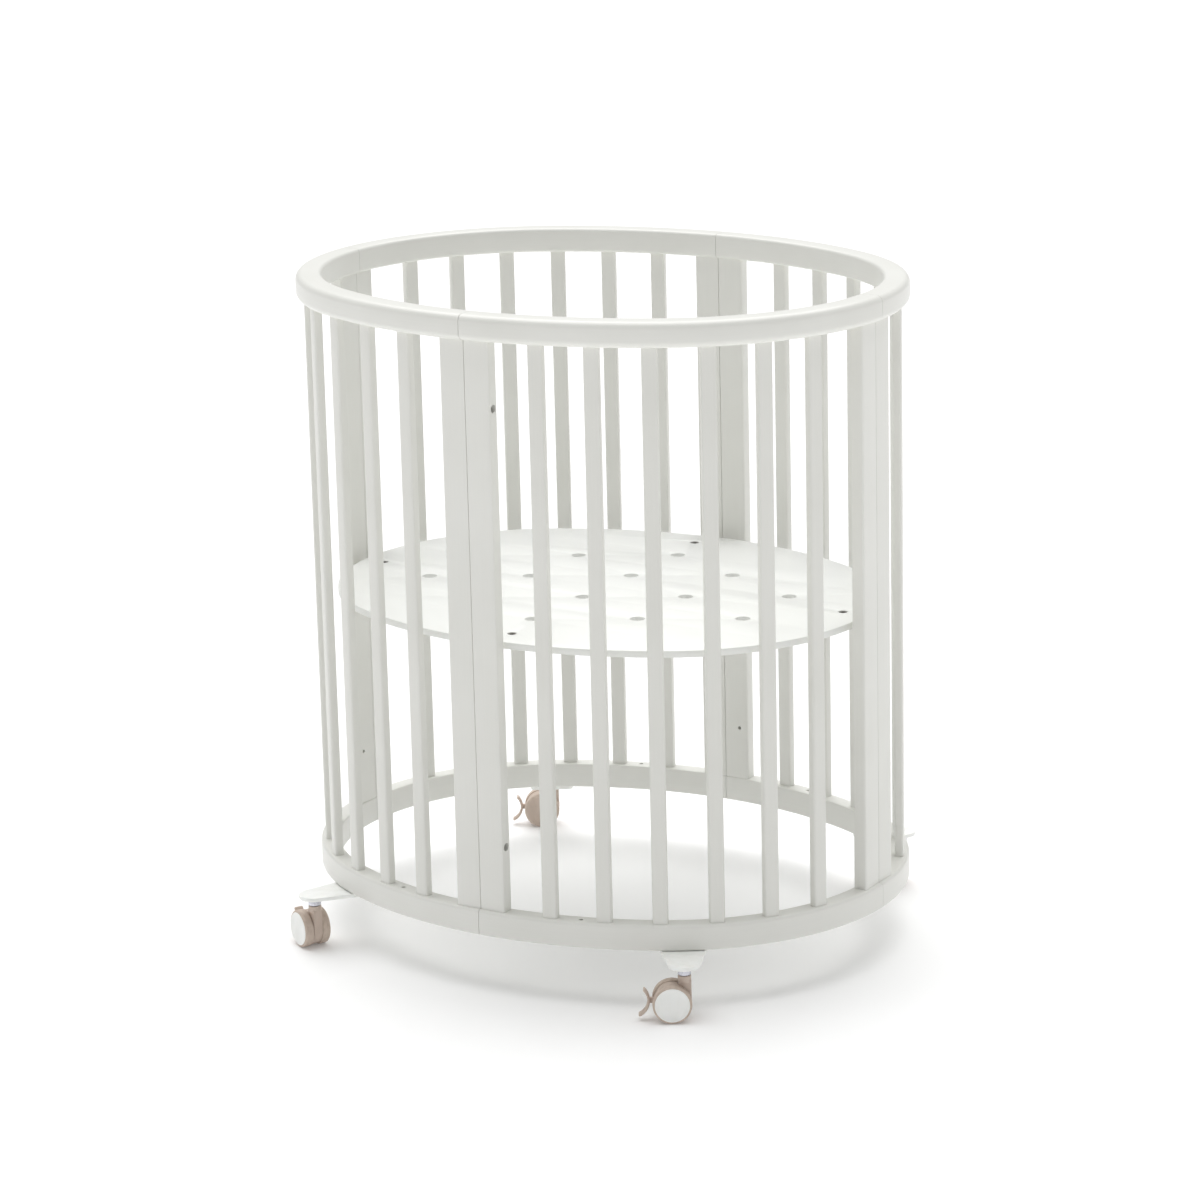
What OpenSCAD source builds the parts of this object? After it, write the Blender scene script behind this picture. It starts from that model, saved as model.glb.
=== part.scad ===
// Oval mini crib: four bolted quarter panels, a perforated mattress board and four braked casters.
// +X runs along the long axis, -Y is the front, and the origin is on the floor under the middle.

/* [Overall] */
// Length along the long axis, over the top rail
length = 830; // [700:1:1000]
// Width along the short axis, over the top rail
width = 670; // [560:1:800]
// Height from the floor to the top rail's upper face
height = 885; // [740:1:1060]
// How much smaller the end arcs' radius is than half the width
end_tuck = 25; // [15:1:60]

/* [Rails] */
// Top rail's width across the wall
top_rail_w = 34; // [30:1:45]
// Top rail's height
top_rail_h = 33; // [28:1:45]
// Rounding of the top rail's outer edges
top_outer_edge_r = 9; // [3:0.5:9]
// Rounding of the top rail's inner edges
top_inner_edge_r = 5; // [2:0.5:5]
// Bottom rail's width across the wall
bottom_rail_w = 25; // [24:1:34]
// Bottom rail's height
bottom_rail_h = 34.4; // [30:0.1:45]
// How far the bottom rail's outer face is set in from the top rail's
bottom_rail_inset = 4; // [2:0.5:5]
// Height of the bottom rail's underside above the floor
bottom_rail_z = 75.3; // [72:0.1:95]
// Rounding of the bottom rail's outer edges
bottom_outer_edge_r = 4.5; // [2:0.5:5]
// Rounding of the bottom rail's inner edges
bottom_inner_edge_r = 2; // [1:0.5:3]
// Open seam between two quarter panels
seam_gap = 0.4; // [0.2:0.1:2]
// Diameter of the small hole in each bottom rail's upper face
rail_hole_d = 6; // [4:0.5:8]
// Depth of that hole
rail_hole_depth = 12; // [6:1:16]
// Distance of that hole from the short axis
rail_hole_x = 136; // [110:1:160]

/* [Slats and posts] */
// Slats in each quarter panel
slats_per_panel = 6; // [4:1:7]
// How much wider the last gap, beside the long axis's post, is than the others
last_gap_extra = 18; // [0:1:24]
// Slat's width along the wall
slat_w = 20; // [14:1:26]
// Slat's thickness across the wall
slat_t = 12; // [10:1:14]
// Rounding of the slat's edges
slat_edge_r = 3; // [1:0.5:4]
// How far the slats' and posts' outer faces are set in from the top rail's
slat_inset = 10; // [9:0.5:12]
// End post's width along the wall
post_w = 36; // [30:1:42]
// End post's thickness across the wall
post_t = 18; // [16:1:19]
// Rounding of the end post's edges
post_edge_r = 2.5; // [1:0.5:4]
// Diameter of the round tenons on slats and posts
tenon_d = 8; // [6:0.5:9]
// Length of the round tenons
tenon_l = 10; // [8:0.5:12]
// Clearance all round a tenon, and at its end
tenon_clearance = 0.1; // [0.05:0.05:0.3]

/* [Mattress board] */
// How far the board's edge is set in from the top rail's outer face
board_inset = 40; // [36:1:60]
// Board's thickness
board_t = 9; // [8:0.5:15]
// Height of the board's upper face above the floor
board_top_z = 460; // [240:1:620]
// Diameter of the vent holes
vent_d = 20; // [14:1:26]
// Distance between columns of vent holes
vent_pitch_x = 121; // [100:1:140]
// Distance between vent holes in a column
vent_pitch_y = 123; // [100:1:140]

/* [Board brackets] */
// Bracket's width
bracket_w = 13; // [12:0.5:18]
// Bracket's metal thickness
bracket_t = 3; // [2:0.5:4]
// Length of the arm under the board
bracket_arm = 62; // [58:1:75]
// Length of the flange down the post
bracket_flange = 17; // [15:1:24]
// Distance of the front and back brackets from their seam
end_bracket_shift = 14.5; // [12:0.5:22]
// Distance of the side brackets from their seam
side_bracket_shift = 26; // [18:0.5:27]
// Distance of the front and back board bolts from the top rail's outer face
end_bolt_reach = 79.5; // [72:0.5:82]
// Distance of the side board bolts from the top rail's outer face
side_bolt_reach = 74; // [70:0.5:82]
// Length of the bracket's screw in the post
bracket_screw_l = 14; // [10:1:15]
// Diameter of the bracket's screw
bracket_screw_d = 3.5; // [3:0.5:4]
// Height of the holes for the board's lower level
low_hole_z = 183; // [150:1:186]
// Diameter of the holes for the board's lower level
low_hole_d = 5; // [4:0.5:6]
// Distance from the front and back seams to those holes
low_hole_shift = 23; // [18:0.5:27]

/* [Bolts and inserts] */
// Thread diameter of the panel and board bolts
bolt_d = 6; // [5:1:6]
// Diameter of the bolts' heads
bolt_head_d = 10; // [9:0.5:10]
// Height of the panel bolts' heads
bolt_head_h = 6; // [4:0.5:6]
// Size across the flats of the heads' hex sockets
hex_af = 5; // [4:0.5:5]
// Clearance all round a bolt's shank and head
bolt_clearance = 0.3; // [0.2:0.1:0.5]
// Depth of the counterbore in the post's side face
counterbore_depth = 12; // [9:0.5:14]
// Distance of the panel bolts from the nearer rail
panel_bolt_margin = 86; // [60:1:120]
// Diameter of the threaded inserts in the posts' seam faces
insert_d = 10; // [9:0.5:11]
// Length of the threaded inserts
insert_l = 15; // [12:0.5:18]
// How deep an insert's outer end lies under the post's seam face
insert_sink = 1; // [0.5:0.5:2]
// Space behind an insert in its hole
insert_end_gap = 2; // [1:0.5:3]
// Diameter of the seam dowels in the rails
dowel_d = 8; // [6:0.5:8]
// Depth of each seam dowel's hole
dowel_depth = 15; // [12:1:20]
// Height of the board bolts' heads
board_bolt_head_h = 3.5; // [3:0.5:4]
// How far the board bolts' heads lie under the board's upper face
board_bolt_sink = 1; // [0.5:0.5:2]

/* [Caster plates] */
// Distance of the swivel axis outside the top rail's outer face
caster_reach = 35; // [30:1:37]
// Direction of the swivel axis from the middle of the end arc
caster_angle = 58.8; // [40:0.1:62]
// Plate's thickness
plate_t = 5.3; // [4:0.1:7]
// Radius of the plate's tip round the swivel axis
plate_tip_r = 20.5; // [16:0.5:24]
// Half of the plate's width under the rail
plate_half_w = 30; // [26:0.5:34]
// Radius of the plate's inner corners
plate_corner_r = 6; // [3:0.5:10]
// How far the plate stops short of the rail's inner face
plate_margin = 3; // [2:0.5:6]
// Distance of each plate screw from the plate's middle line
plate_screw_side = 17; // [12:0.5:20]
// Diameter of the plate screws
plate_screw_d = 4; // [3:0.5:5]
// Diameter of the plate screws' heads
plate_screw_head_d = 8; // [7:0.5:9]
// Length of the plate screws in the rail
plate_screw_l = 20; // [14:1:24]

/* [Casters] */
// Wheel diameter
wheel_d = 50; // [44:0.5:52]
// Wheel's width
wheel_w = 12; // [10:0.5:14]
// Rounding of the wheel's outer edge
wheel_edge_r = 3; // [1:0.5:4]
// Distance of the axle behind the swivel axis
trail = 16; // [14:0.5:18]
// Width of the body between the wheels
web_w = 12; // [12:0.5:14]
// How much smaller the body's radius is than the wheel's
web_tuck = 1.5; // [1:0.5:4]
// Side gap between a wheel and the body
wheel_gap = 0.4; // [0.3:0.1:1]
// Axle diameter
axle_d = 6; // [5:0.5:6]
// Diameter of the axle's end heads
axle_head_d = 9; // [8:0.5:10]
// Thickness of the axle's end heads
axle_head_t = 1; // [0.8:0.1:1.5]
// Clearance all round a turning pin
running_clearance = 0.05; // [0.03:0.01:0.1]
// Cap diameter
cap_d = 44.4; // [38:0.2:45]
// Depth of the cap's seat in the wheel
cap_seat = 2.5; // [2:0.1:3]
// How far the cap stands proud of the wheel's face
cap_proud = 0.5; // [0.3:0.1:1]
// Diameter of the bright collar
collar_d = 17; // [15:0.5:18]
// Height of the bright collar
collar_h = 10; // [8:0.5:12]
// Gap between the collar and the body
collar_gap = 0.4; // [0.3:0.1:1]
// Swivel pin's diameter inside the body
swivel_pin_d = 7; // [6:0.5:7]
// Length of the swivel pin below the collar
swivel_pin_l = 22; // [20:1:24]
// Diameter of the swivel pin's catch
catch_d = 8.6; // [8:0.1:8.6]
// Height of the swivel pin's catch
catch_h = 4; // [3:0.5:5]
// Clearance all round the catch
catch_clearance = 0.3; // [0.2:0.1:0.4]
// Height of the flat front face's lower edge above the floor
web_front_z = 20; // [16:1:24]
// Height of the round boss under the collar
boss_h = 8.6; // [6:0.2:9]

/* [Brake levers] */
// Width of the pedal
pedal_w = 12; // [10:0.5:14]
// Thickness of the pedal
pedal_t = 3; // [2.5:0.5:4]
// Radius of the pedal's curve, in the middle of its thickness
pedal_r = 21; // [18:0.5:24]
// Distance of the pedal's back from the wheel's tread
pedal_gap = 3; // [2:0.5:5]
// Angle that the pedal covers above the lever's middle line
pedal_up = 42; // [30:1:50]
// Angle that the pedal covers below the lever's middle line
pedal_down = 63; // [50:1:64]
// Thickness of the lever's arm
arm_t = 5; // [4:0.5:5]
// Height of the lever's arm
arm_h = 7; // [6:0.5:8]
// Radius of the lever's eye
eye_r = 4; // [3.5:0.5:4.5]
// Diameter of the lever's moulded pivot
pivot_d = 4; // [3:0.5:4]
// Distance of the pivot behind the axle
pivot_back = 18.5; // [18:0.5:19]
// Height of the pivot above the axle
pivot_up = 2; // [1:0.5:3]
// Side clearance of the arm in its slot
slot_clearance = 0.3; // [0.2:0.1:0.5]

/* [Hidden] */
$fn = 64;
eps = 0.01;
join_trim = 0.05;
join_lap = 0.05;
half_l = length / 2;
half_w = width / 2;
end_r = half_w - end_tuck;
// The long sides' arcs meet the end arcs smoothly.
end_cx = half_l - end_r;
side_r = (half_w ^ 2 + end_cx ^ 2 - end_r ^ 2) / (2 * end_tuck);
side_cy = side_r - half_w;
join_angle = atan2(side_cy, end_cx);

top_rail_z = height - top_rail_h;
slat_z = bottom_rail_z + bottom_rail_h;
slat_l = top_rail_z - slat_z;
slat_mid = slat_inset + slat_t / 2;
post_mid = slat_inset + post_t / 2;
post_inner = slat_inset + post_t;
post_tenon_side = post_w / 4;
bolt_heights = [slat_z + panel_bolt_margin, top_rail_z - panel_bolt_margin];
bolt_hole_d = bolt_d + 2 * bolt_clearance;
head_hole_d = bolt_head_d + 2 * bolt_clearance;
bolt_tip = -insert_sink - insert_l;
bolt_l = post_w - counterbore_depth - bolt_tip;
insert_hole_d = insert_d + tenon_clearance;
dowel_levels = [
    [bottom_rail_z + bottom_rail_h / 2, bottom_rail_inset + bottom_rail_w / 2],
    [top_rail_z + top_rail_h / 2 + 2, top_rail_w / 2]
];

board_z = board_top_z - board_t;
board_head_hole_d = bolt_head_d + 2 + 2 * bolt_clearance;
board_bolt_seat = board_bolt_head_h + board_bolt_sink;
board_bolt_l = board_t - board_bolt_seat + bracket_t + 3;
bracket_screw_drop = bracket_t + (bracket_flange - bracket_t) / 2 + 1;
vent_columns = 5;
vent_rows_mid = 4;

plate_z = bottom_rail_z - plate_t;
plate_l = caster_reach + bottom_rail_inset + bottom_rail_w - plate_margin;
plate_screw_x = caster_reach + bottom_rail_inset + bottom_rail_w / 2;
spigot_d = collar_d - 5;
spigot_h = plate_t - 1.5;
collar_z = plate_z - collar_h;
boss_top = collar_z - collar_gap;
pin_end_z = collar_z - swivel_pin_l;
wheel_r = wheel_d / 2;
web_r = wheel_r - web_tuck;
wheel_in = web_w / 2 + wheel_gap;
wheel_out = wheel_in + wheel_w;
seat_out = wheel_out - cap_seat;
axle_seat_t = axle_head_t + 0.3;
axle_l = 2 * (seat_out - axle_seat_t + axle_head_t);
cap_hole_d = cap_d + 0.1;
pivot = [trail + pivot_back, wheel_r + pivot_up];
pedal_mid_x = trail + wheel_r + pedal_gap + pedal_t / 2;
pedal_centre = [pedal_mid_x + pedal_r, pivot.y];
slot_w = arm_t + 2 * slot_clearance;
pivot_l = web_w - 0.4;

// Quarter panels: name, side along X, side along Y, and whether the bolts' heads are in its post at
// the front or back seam, and in its post at the left or right seam
PANELS = [
    ["front_right", 1, -1, true, false],
    ["back_right", 1, 1, false, true],
    ["back_left", -1, 1, true, true],
    ["front_left", -1, -1, false, false]
];
// Direction in which each caster trails, in the order of the panels
TRAIL_ANGLES = [211.8, 211.8, 211.8, 151.8];
PANEL_NODES = ["top_rail", "bottom_rail", "slats", "posts"];
CASTER_NODES = ["plate", "stem", "body", "axle", "outer_wheel", "inner_wheel",
    "outer_cap", "inner_cap", "brake_lever"];
SHARED_NODES = ["mattress_board", "board_brackets", "board_bolts", "bracket_screws",
    "panel_bolts", "seam_inserts", "seam_dowels", "plate_screws"];

PAINT = "#f1f1ec";
TAUPE = "#b2a094";
CAP_WHITE = "#e4e6e1";
STEEL = "#c8c8d0";
BRACKET = "#d9d4c8";

// ---- The oval ----

// Point in the first quadrant whose outward direction is angle, set in from the outer oval
function oval_point(angle, inset) = angle < join_angle
    ? [end_cx + (end_r - inset) * cos(angle), (end_r - inset) * sin(angle)]
    : [(side_r - inset) * cos(angle), (side_r - inset) * sin(angle) - side_cy];

// Length of the long side's arc in one quadrant
function side_arc(inset) = (side_r - inset) * (90 - join_angle) * PI / 180;

// Length of the end arc in one quadrant
function end_arc(inset) = (end_r - inset) * join_angle * PI / 180;

// Outward direction at a distance along the arc from the short axis
function oval_angle(distance, inset) = distance < side_arc(inset)
    ? 90 - distance / (side_r - inset) * 180 / PI
    : join_angle - (distance - side_arc(inset)) / (end_r - inset) * 180 / PI;

module oval(inset) {
    join_x = oval_point(join_angle, inset).x;
    intersection() {
        intersection_for (side = [-1, 1]) {
            translate([0, side * side_cy])
                circle(r = side_r - inset, $fn = 240);
        }
        square([2 * join_x, width], center = true);
    }
    for (side = [-1, 1]) {
        translate([side * end_cx, 0])
            circle(r = end_r - inset, $fn = 180);
    }
}

// Sweeps a rail's section along one quadrant: both arcs are one piece, and the end arc's section
// is a hair smaller, so that its end lies inside the side arc's.
module quarter_rail(inset, w, h, outer_r, inner_r) {
    intersection() {
        union() {
            translate([end_cx, 0, 0])
                rotate_extrude(angle = join_angle + join_lap, $fn = 180)
                    translate([end_r - inset - w, 0])
                        edged_rectangle(w, h, inner_r, outer_r, join_trim);
            translate([0, -side_cy, 0])
                rotate([0, 0, join_angle])
                    rotate_extrude(angle = 90 - join_angle, $fn = 360)
                        translate([side_r - inset - w, 0])
                            edged_rectangle(w, h, inner_r, outer_r, 0);
        }
        translate([seam_gap / 2, seam_gap / 2, -1])
            cube([length, width, h + 2]);
    }
}

// Rectangle with one radius on its two left corners and one on its two right corners;
// trim takes the same small amount off all round.
module edged_rectangle(w, h, left_r, right_r, trim = 0) {
    x = [trim, left_r, w - right_r, w - trim];
    y = [trim, h - trim];
    polygon([
        [x[0], left_r], [x[1], y[0]], [x[2], y[0]], [x[3], right_r],
        [x[3], h - right_r], [x[2], y[1]], [x[1], y[1]], [x[0], h - left_r]
    ]);
    for (top = [false, true]) {
        translate([left_r, top ? h - left_r : left_r])
            circle(r = left_r - trim, $fn = 32);
        translate([w - right_r, top ? h - right_r : right_r])
            circle(r = right_r - trim, $fn = 32);
    }
}

// ---- Places ----

// Puts the children in a panel's quadrant; they are drawn in the first quadrant.
module in_quadrant(panel) {
    mirror([panel[1] < 0 ? 1 : 0, 0, 0])
        mirror([0, panel[2] < 0 ? 1 : 0, 0])
            children();
}

// Puts the children at a distance along the wall from the short axis, with +X pointing outward.
module along_wall(distance, inset) {
    angle = oval_angle(distance, inset);
    point = oval_point(angle, inset);
    translate([point.x, point.y, 0])
        rotate([0, 0, angle])
            children();
}

// At the front and back seams: +X runs into the post with the bolt heads, +Y runs inward.
module at_end_seams() {
    for (turn = [0, 180]) {
        rotate([0, 0, turn])
            translate([0, -half_w, 0])
                children();
    }
}

// At the left and right seams: +X runs away from the post with the bracket, +Y runs inward.
module at_side_seams() {
    for (turn = [0, 180]) {
        rotate([0, 0, turn])
            translate([half_l, 0, 0])
                rotate([0, 0, 90])
                    mirror([1, 0, 0])
                        children();
    }
}

// At the left and right seams: +X runs into the back panels' posts, which have the bolt heads.
module at_side_bolts() {
    for (panel = [PANELS[1], PANELS[2]]) {
        in_quadrant(panel)
            translate([half_l, 0, 0])
                rotate([0, 0, 90])
                    children();
    }
}

// Puts the children at a first-quadrant caster's swivel axis, with +X pointing inward.
module at_swivel() {
    point = oval_point(caster_angle, -caster_reach);
    translate([point.x, point.y, 0])
        rotate([0, 0, caster_angle + 180])
            children();
}

// Puts the children at a caster's swivel axis, with +X pointing where the wheels trail.
module on_caster(index) {
    point = oval_point(caster_angle, -caster_reach);
    translate([PANELS[index][1] * point.x, PANELS[index][2] * point.y, 0])
        rotate([0, 0, TRAIL_ANGLES[index]])
            children();
}

// ---- Quarter panels ----

// Distance of a slat's middle from the short axis, with equal gaps but for the last one
function slat_distance(i) =
    let (
        wall = side_arc(slat_mid) + end_arc(slat_mid),
        free = wall - 2 * post_w - slats_per_panel * slat_w - last_gap_extra,
        gap = free / (slats_per_panel + 1)
    )
    post_w + gap + slat_w / 2 + i * (gap + slat_w);

// Tenons, or their holes, of one quarter panel, from one level up to another
module tenons(d, from, to) {
    for (i = [0 : slats_per_panel - 1]) {
        along_wall(slat_distance(i), slat_mid)
            translate([0, 0, from])
                cylinder(d = d, h = to - from);
    }
    post_tenons(d, from, to);
}

module post_tenons(d, from, to) {
    for (side = [1, 3]) {
        translate([side * post_tenon_side, half_w - post_mid, from])
            cylinder(d = d, h = to - from);
        translate([half_l - post_mid, side * post_tenon_side, from])
            cylinder(d = d, h = to - from);
    }
}

// Blind holes for the seam dowels in both ends of one quarter's rail
module dowel_holes(level) {
    translate([0, half_w - level[1], level[0]])
        rotate([0, 90, 0])
            cylinder(d = dowel_d, h = dowel_depth + seam_gap / 2);
    translate([half_l - level[1], 0, level[0]])
        rotate([-90, 0, 0])
            cylinder(d = dowel_d, h = dowel_depth + seam_gap / 2);
}

module top_rail(panel) {
    hole_top = top_rail_z + tenon_l + tenon_clearance;
    color(PAINT)
        in_quadrant(panel)
            difference() {
                translate([0, 0, top_rail_z])
                    quarter_rail(0, top_rail_w, top_rail_h, top_outer_edge_r, top_inner_edge_r);
                tenons(tenon_d + 2 * tenon_clearance, top_rail_z - 1, hole_top);
                dowel_holes(dowel_levels[1]);
            }
}

module bottom_rail(panel) {
    hole_end = slat_z - tenon_l - tenon_clearance;
    rail_mid = bottom_rail_inset + bottom_rail_w / 2;
    rail_hole_angle = acos(rail_hole_x / (side_r - rail_mid));
    hole_angle = max(rail_hole_angle, join_angle);
    hole_at = oval_point(hole_angle, rail_mid);
    color(PAINT)
        in_quadrant(panel)
            difference() {
                translate([0, 0, bottom_rail_z])
                    quarter_rail(bottom_rail_inset, bottom_rail_w, bottom_rail_h,
                        bottom_outer_edge_r, bottom_inner_edge_r);
                tenons(tenon_d + 2 * tenon_clearance, hole_end, slat_z + 1);
                dowel_holes(dowel_levels[0]);
                translate([hole_at.x, hole_at.y, slat_z - rail_hole_depth])
                    cylinder(d = rail_hole_d, h = rail_hole_depth + 1);
                at_swivel()
                    for (side = [-1, 1]) {
                        translate([plate_screw_x, side * plate_screw_side, plate_z])
                            cylinder(d = plate_screw_d, h = plate_t + plate_screw_l);
                    }
            }
}

module slats(panel) {
    color(PAINT)
        in_quadrant(panel) {
            for (i = [0 : slats_per_panel - 1]) {
                along_wall(slat_distance(i), slat_mid) {
                    translate([-slat_t / 2, -slat_w / 2, slat_z])
                        linear_extrude(slat_l)
                            edged_rectangle(slat_t, slat_w, slat_edge_r, slat_edge_r);
                    translate([0, 0, slat_z - tenon_l])
                        cylinder(d = tenon_d, h = slat_l + 2 * tenon_l);
                }
            }
        }
}

// Straight end post against a seam, drawn in that seam's own frame
module post_blank() {
    translate([seam_gap / 2, slat_inset, slat_z])
        linear_extrude(slat_l)
            edged_rectangle(post_w - seam_gap / 2, post_t, post_edge_r, post_edge_r);
}

// Counterbored hole for a panel bolt's head, along +X from the seam
module head_holes() {
    for (z = bolt_heights) {
        translate([0, post_mid, z])
            rotate([0, 90, 0]) {
                cylinder(d = bolt_hole_d, h = post_w);
                translate([0, 0, post_w - counterbore_depth])
                    cylinder(d = head_hole_d, h = counterbore_depth + 1);
            }
    }
}

// Blind holes for the threaded inserts, along +X from the seam
module insert_holes() {
    for (z = bolt_heights) {
        translate([0, post_mid, z])
            rotate([0, 90, 0])
                cylinder(d = insert_hole_d, h = insert_sink + insert_l + insert_end_gap);
    }
}

// Blind hole in the post's inner face, at a distance from the seam and a height
module inner_hole(d, shift, z) {
    translate([shift, post_inner - bracket_screw_l, z])
        rotate([-90, 0, 0])
            cylinder(d = d, h = bracket_screw_l + 1);
}

// One post with its bolt or insert holes and, where their distances from the seam aren't 0, the
// screw hole of its bracket and the hole for the board's lower level
module post(has_heads, bracket_shift, low_shift) {
    difference() {
        post_blank();
        if (has_heads) {
            head_holes();
        } else {
            insert_holes();
        }
        if (bracket_shift > 0) {
            inner_hole(bracket_screw_d, bracket_shift, board_z - bracket_screw_drop);
        }
        if (low_shift > 0) {
            inner_hole(low_hole_d, low_shift, low_hole_z);
        }
    }
}

module posts(panel) {
    end_heads = panel[3];
    side_shift = end_heads ? 0 : side_bracket_shift;
    color(PAINT)
        in_quadrant(panel) {
            translate([0, half_w, 0])
                mirror([0, 1, 0])
                    post(end_heads, end_heads ? end_bracket_shift : 0, end_heads ? 0 : low_hole_shift);
            translate([half_l, 0, 0])
                rotate([0, 0, 90])
                    post(panel[4], side_shift, side_shift);
            post_tenons(tenon_d, slat_z - tenon_l, slat_z);
            post_tenons(tenon_d, top_rail_z, top_rail_z + tenon_l);
        }
}

// ---- Seam hardware ----

module hex_socket(depth) {
    cylinder(d = hex_af / cos(30), h = depth, $fn = 6);
}

module panel_bolt() {
    seat = post_w - counterbore_depth;
    rotate([0, 90, 0]) {
        translate([0, 0, bolt_tip])
            cylinder(d = bolt_d, h = bolt_l + eps);
        translate([0, 0, seat])
            difference() {
                cylinder(d = bolt_head_d, h = bolt_head_h);
                translate([0, 0, bolt_head_h / 2])
                    hex_socket(bolt_head_h);
            }
    }
}

module seam_bolts() {
    for (z = bolt_heights) {
        translate([0, post_mid, z])
            panel_bolt();
    }
}

module panel_bolts() {
    color(STEEL) {
        at_end_seams()
            seam_bolts();
        at_side_bolts()
            seam_bolts();
    }
}

module insert_pair() {
    for (z = bolt_heights) {
        translate([bolt_tip, post_mid, z])
            rotate([0, 90, 0])
                difference() {
                    cylinder(d = insert_d, h = insert_l);
                    translate([0, 0, -1])
                        cylinder(d = bolt_d, h = insert_l + 2);
                }
    }
}

module seam_inserts() {
    color(STEEL) {
        at_end_seams()
            insert_pair();
        at_side_bolts()
            insert_pair();
    }
}

module seam_dowel_pair() {
    for (level = dowel_levels) {
        translate([0, level[1], level[0]])
            rotate([0, 90, 0])
                cylinder(d = dowel_d, h = 2 * dowel_depth + seam_gap, center = true);
    }
}

module seam_dowels() {
    color("#d8b98c") {
        at_end_seams()
            seam_dowel_pair();
        at_side_seams()
            seam_dowel_pair();
    }
}

// ---- Mattress board ----

// Puts the children at both end brackets and both side brackets, on the outer face of the wall.
module at_brackets() {
    at_end_seams()
        translate([end_bracket_shift, 0, 0])
            children(0);
    at_side_seams()
        translate([-side_bracket_shift, 0, 0])
            children(1);
}

module board_bolt_hole(reach) {
    translate([0, reach, board_z - 1]) {
        cylinder(d = bolt_hole_d, h = board_t + 2);
        translate([0, 0, board_t + 1 - board_bolt_seat])
            cylinder(d = board_head_hole_d, h = board_bolt_seat + 1);
    }
}

module mattress_board() {
    color("#f8f9f5")
        difference() {
            translate([0, 0, board_z])
                linear_extrude(board_t)
                    oval(board_inset);
            for (column = [0 : vent_columns - 1]) {
                step = column - (vent_columns - 1) / 2;
                rows = vent_rows_mid - abs(step);
                for (row = [0 : rows - 1]) {
                    translate([step * vent_pitch_x, (row - (rows - 1) / 2) * vent_pitch_y, board_z - 1])
                        cylinder(d = vent_d, h = board_t + 2);
                }
            }
            at_brackets() {
                board_bolt_hole(end_bolt_reach);
                board_bolt_hole(side_bolt_reach);
            }
        }
}

// Angle bracket: its arm lies under the board and its flange on the post's inner face.
module bracket(reach) {
    fillet_r = bracket_t;
    difference() {
        union() {
            translate([-bracket_w / 2, post_inner, board_z - bracket_t])
                cube([bracket_w, bracket_arm - bracket_w / 2, bracket_t]);
            translate([0, post_inner + bracket_arm - bracket_w / 2, board_z - bracket_t])
                cylinder(d = bracket_w, h = bracket_t);
            translate([-bracket_w / 2, post_inner, board_z - bracket_flange])
                cube([bracket_w, bracket_t, bracket_flange - bracket_t]);
            difference() {
                translate([-bracket_w / 2, post_inner + bracket_t, board_z - bracket_t - fillet_r])
                    cube([bracket_w, fillet_r, fillet_r]);
                translate([-bracket_w, post_inner + bracket_t + fillet_r, board_z - bracket_t - fillet_r])
                    rotate([0, 90, 0])
                        cylinder(r = fillet_r, h = 2 * bracket_w);
            }
        }
        translate([0, reach, board_z - bracket_t - 1])
            cylinder(d = bolt_d, h = bracket_t + 2);
        translate([0, post_inner - 1, board_z - bracket_screw_drop])
            rotate([-90, 0, 0])
                cylinder(d = bracket_screw_d, h = bracket_t + 2);
    }
}

module board_brackets() {
    color(BRACKET)
        at_brackets() {
            bracket(end_bolt_reach);
            bracket(side_bolt_reach);
        }
}

module board_bolt(reach) {
    seat_z = board_top_z - board_bolt_seat;
    translate([0, reach, 0]) {
        translate([0, 0, seat_z - board_bolt_l])
            cylinder(d = bolt_d, h = board_bolt_l);
        translate([0, 0, seat_z])
            difference() {
                cylinder(d = bolt_head_d + 2, h = board_bolt_head_h);
                translate([0, 0, board_bolt_head_h / 2])
                    hex_socket(board_bolt_head_h);
            }
    }
}

module board_bolts() {
    color(STEEL)
        at_brackets() {
            board_bolt(end_bolt_reach);
            board_bolt(side_bolt_reach);
        }
}

module bracket_screw() {
    head_t = 2;
    translate([0, post_inner, board_z - bracket_screw_drop])
        rotate([-90, 0, 0]) {
            translate([0, 0, -bracket_screw_l])
                cylinder(d = bracket_screw_d, h = bracket_screw_l + bracket_t);
            translate([0, 0, bracket_t])
                difference() {
                    cylinder(d = 2 * bracket_screw_d, h = head_t);
                    translate([0, 0, head_t])
                        cube([bracket_screw_d + 1, 1, 2], center = true);
                    translate([0, 0, head_t])
                        cube([1, bracket_screw_d + 1, 2], center = true);
                }
        }
}

module bracket_screws() {
    color(STEEL)
        at_brackets() {
            bracket_screw();
            bracket_screw();
        }
}

// ---- Casters ----

// Angle at which the outer tangent of two circles touches them both
function tangent_angle(c1, r1, c2, r2) =
    atan2(c2.y - c1.y, c2.x - c1.x) + acos((r1 - r2) / norm(c2 - c1));

// Teardrop round the swivel axis; its straight sides run a hair inside the circles' tangents.
module plate_outline() {
    hair = 0.05;
    corner = [plate_l - plate_corner_r, plate_half_w - plate_corner_r];
    touch = tangent_angle([0, 0], plate_tip_r, corner, plate_corner_r);
    toward = [cos(touch), sin(touch)];
    side = [
        (plate_tip_r - hair) * toward,
        corner + (plate_corner_r - hair) * toward,
        corner + [plate_corner_r - hair, 0]
    ];
    circle(r = plate_tip_r);
    polygon(concat([for (p = side) [p.x, -p.y]], [for (i = [2 : -1 : 0]) side[i]]));
    for (flip = [-1, 1]) {
        translate([corner.x, flip * corner.y])
            circle(r = plate_corner_r);
    }
}

module at_plate_screws() {
    for (side = [-1, 1]) {
        translate([plate_screw_x, side * plate_screw_side, plate_z])
            children();
    }
}

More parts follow.
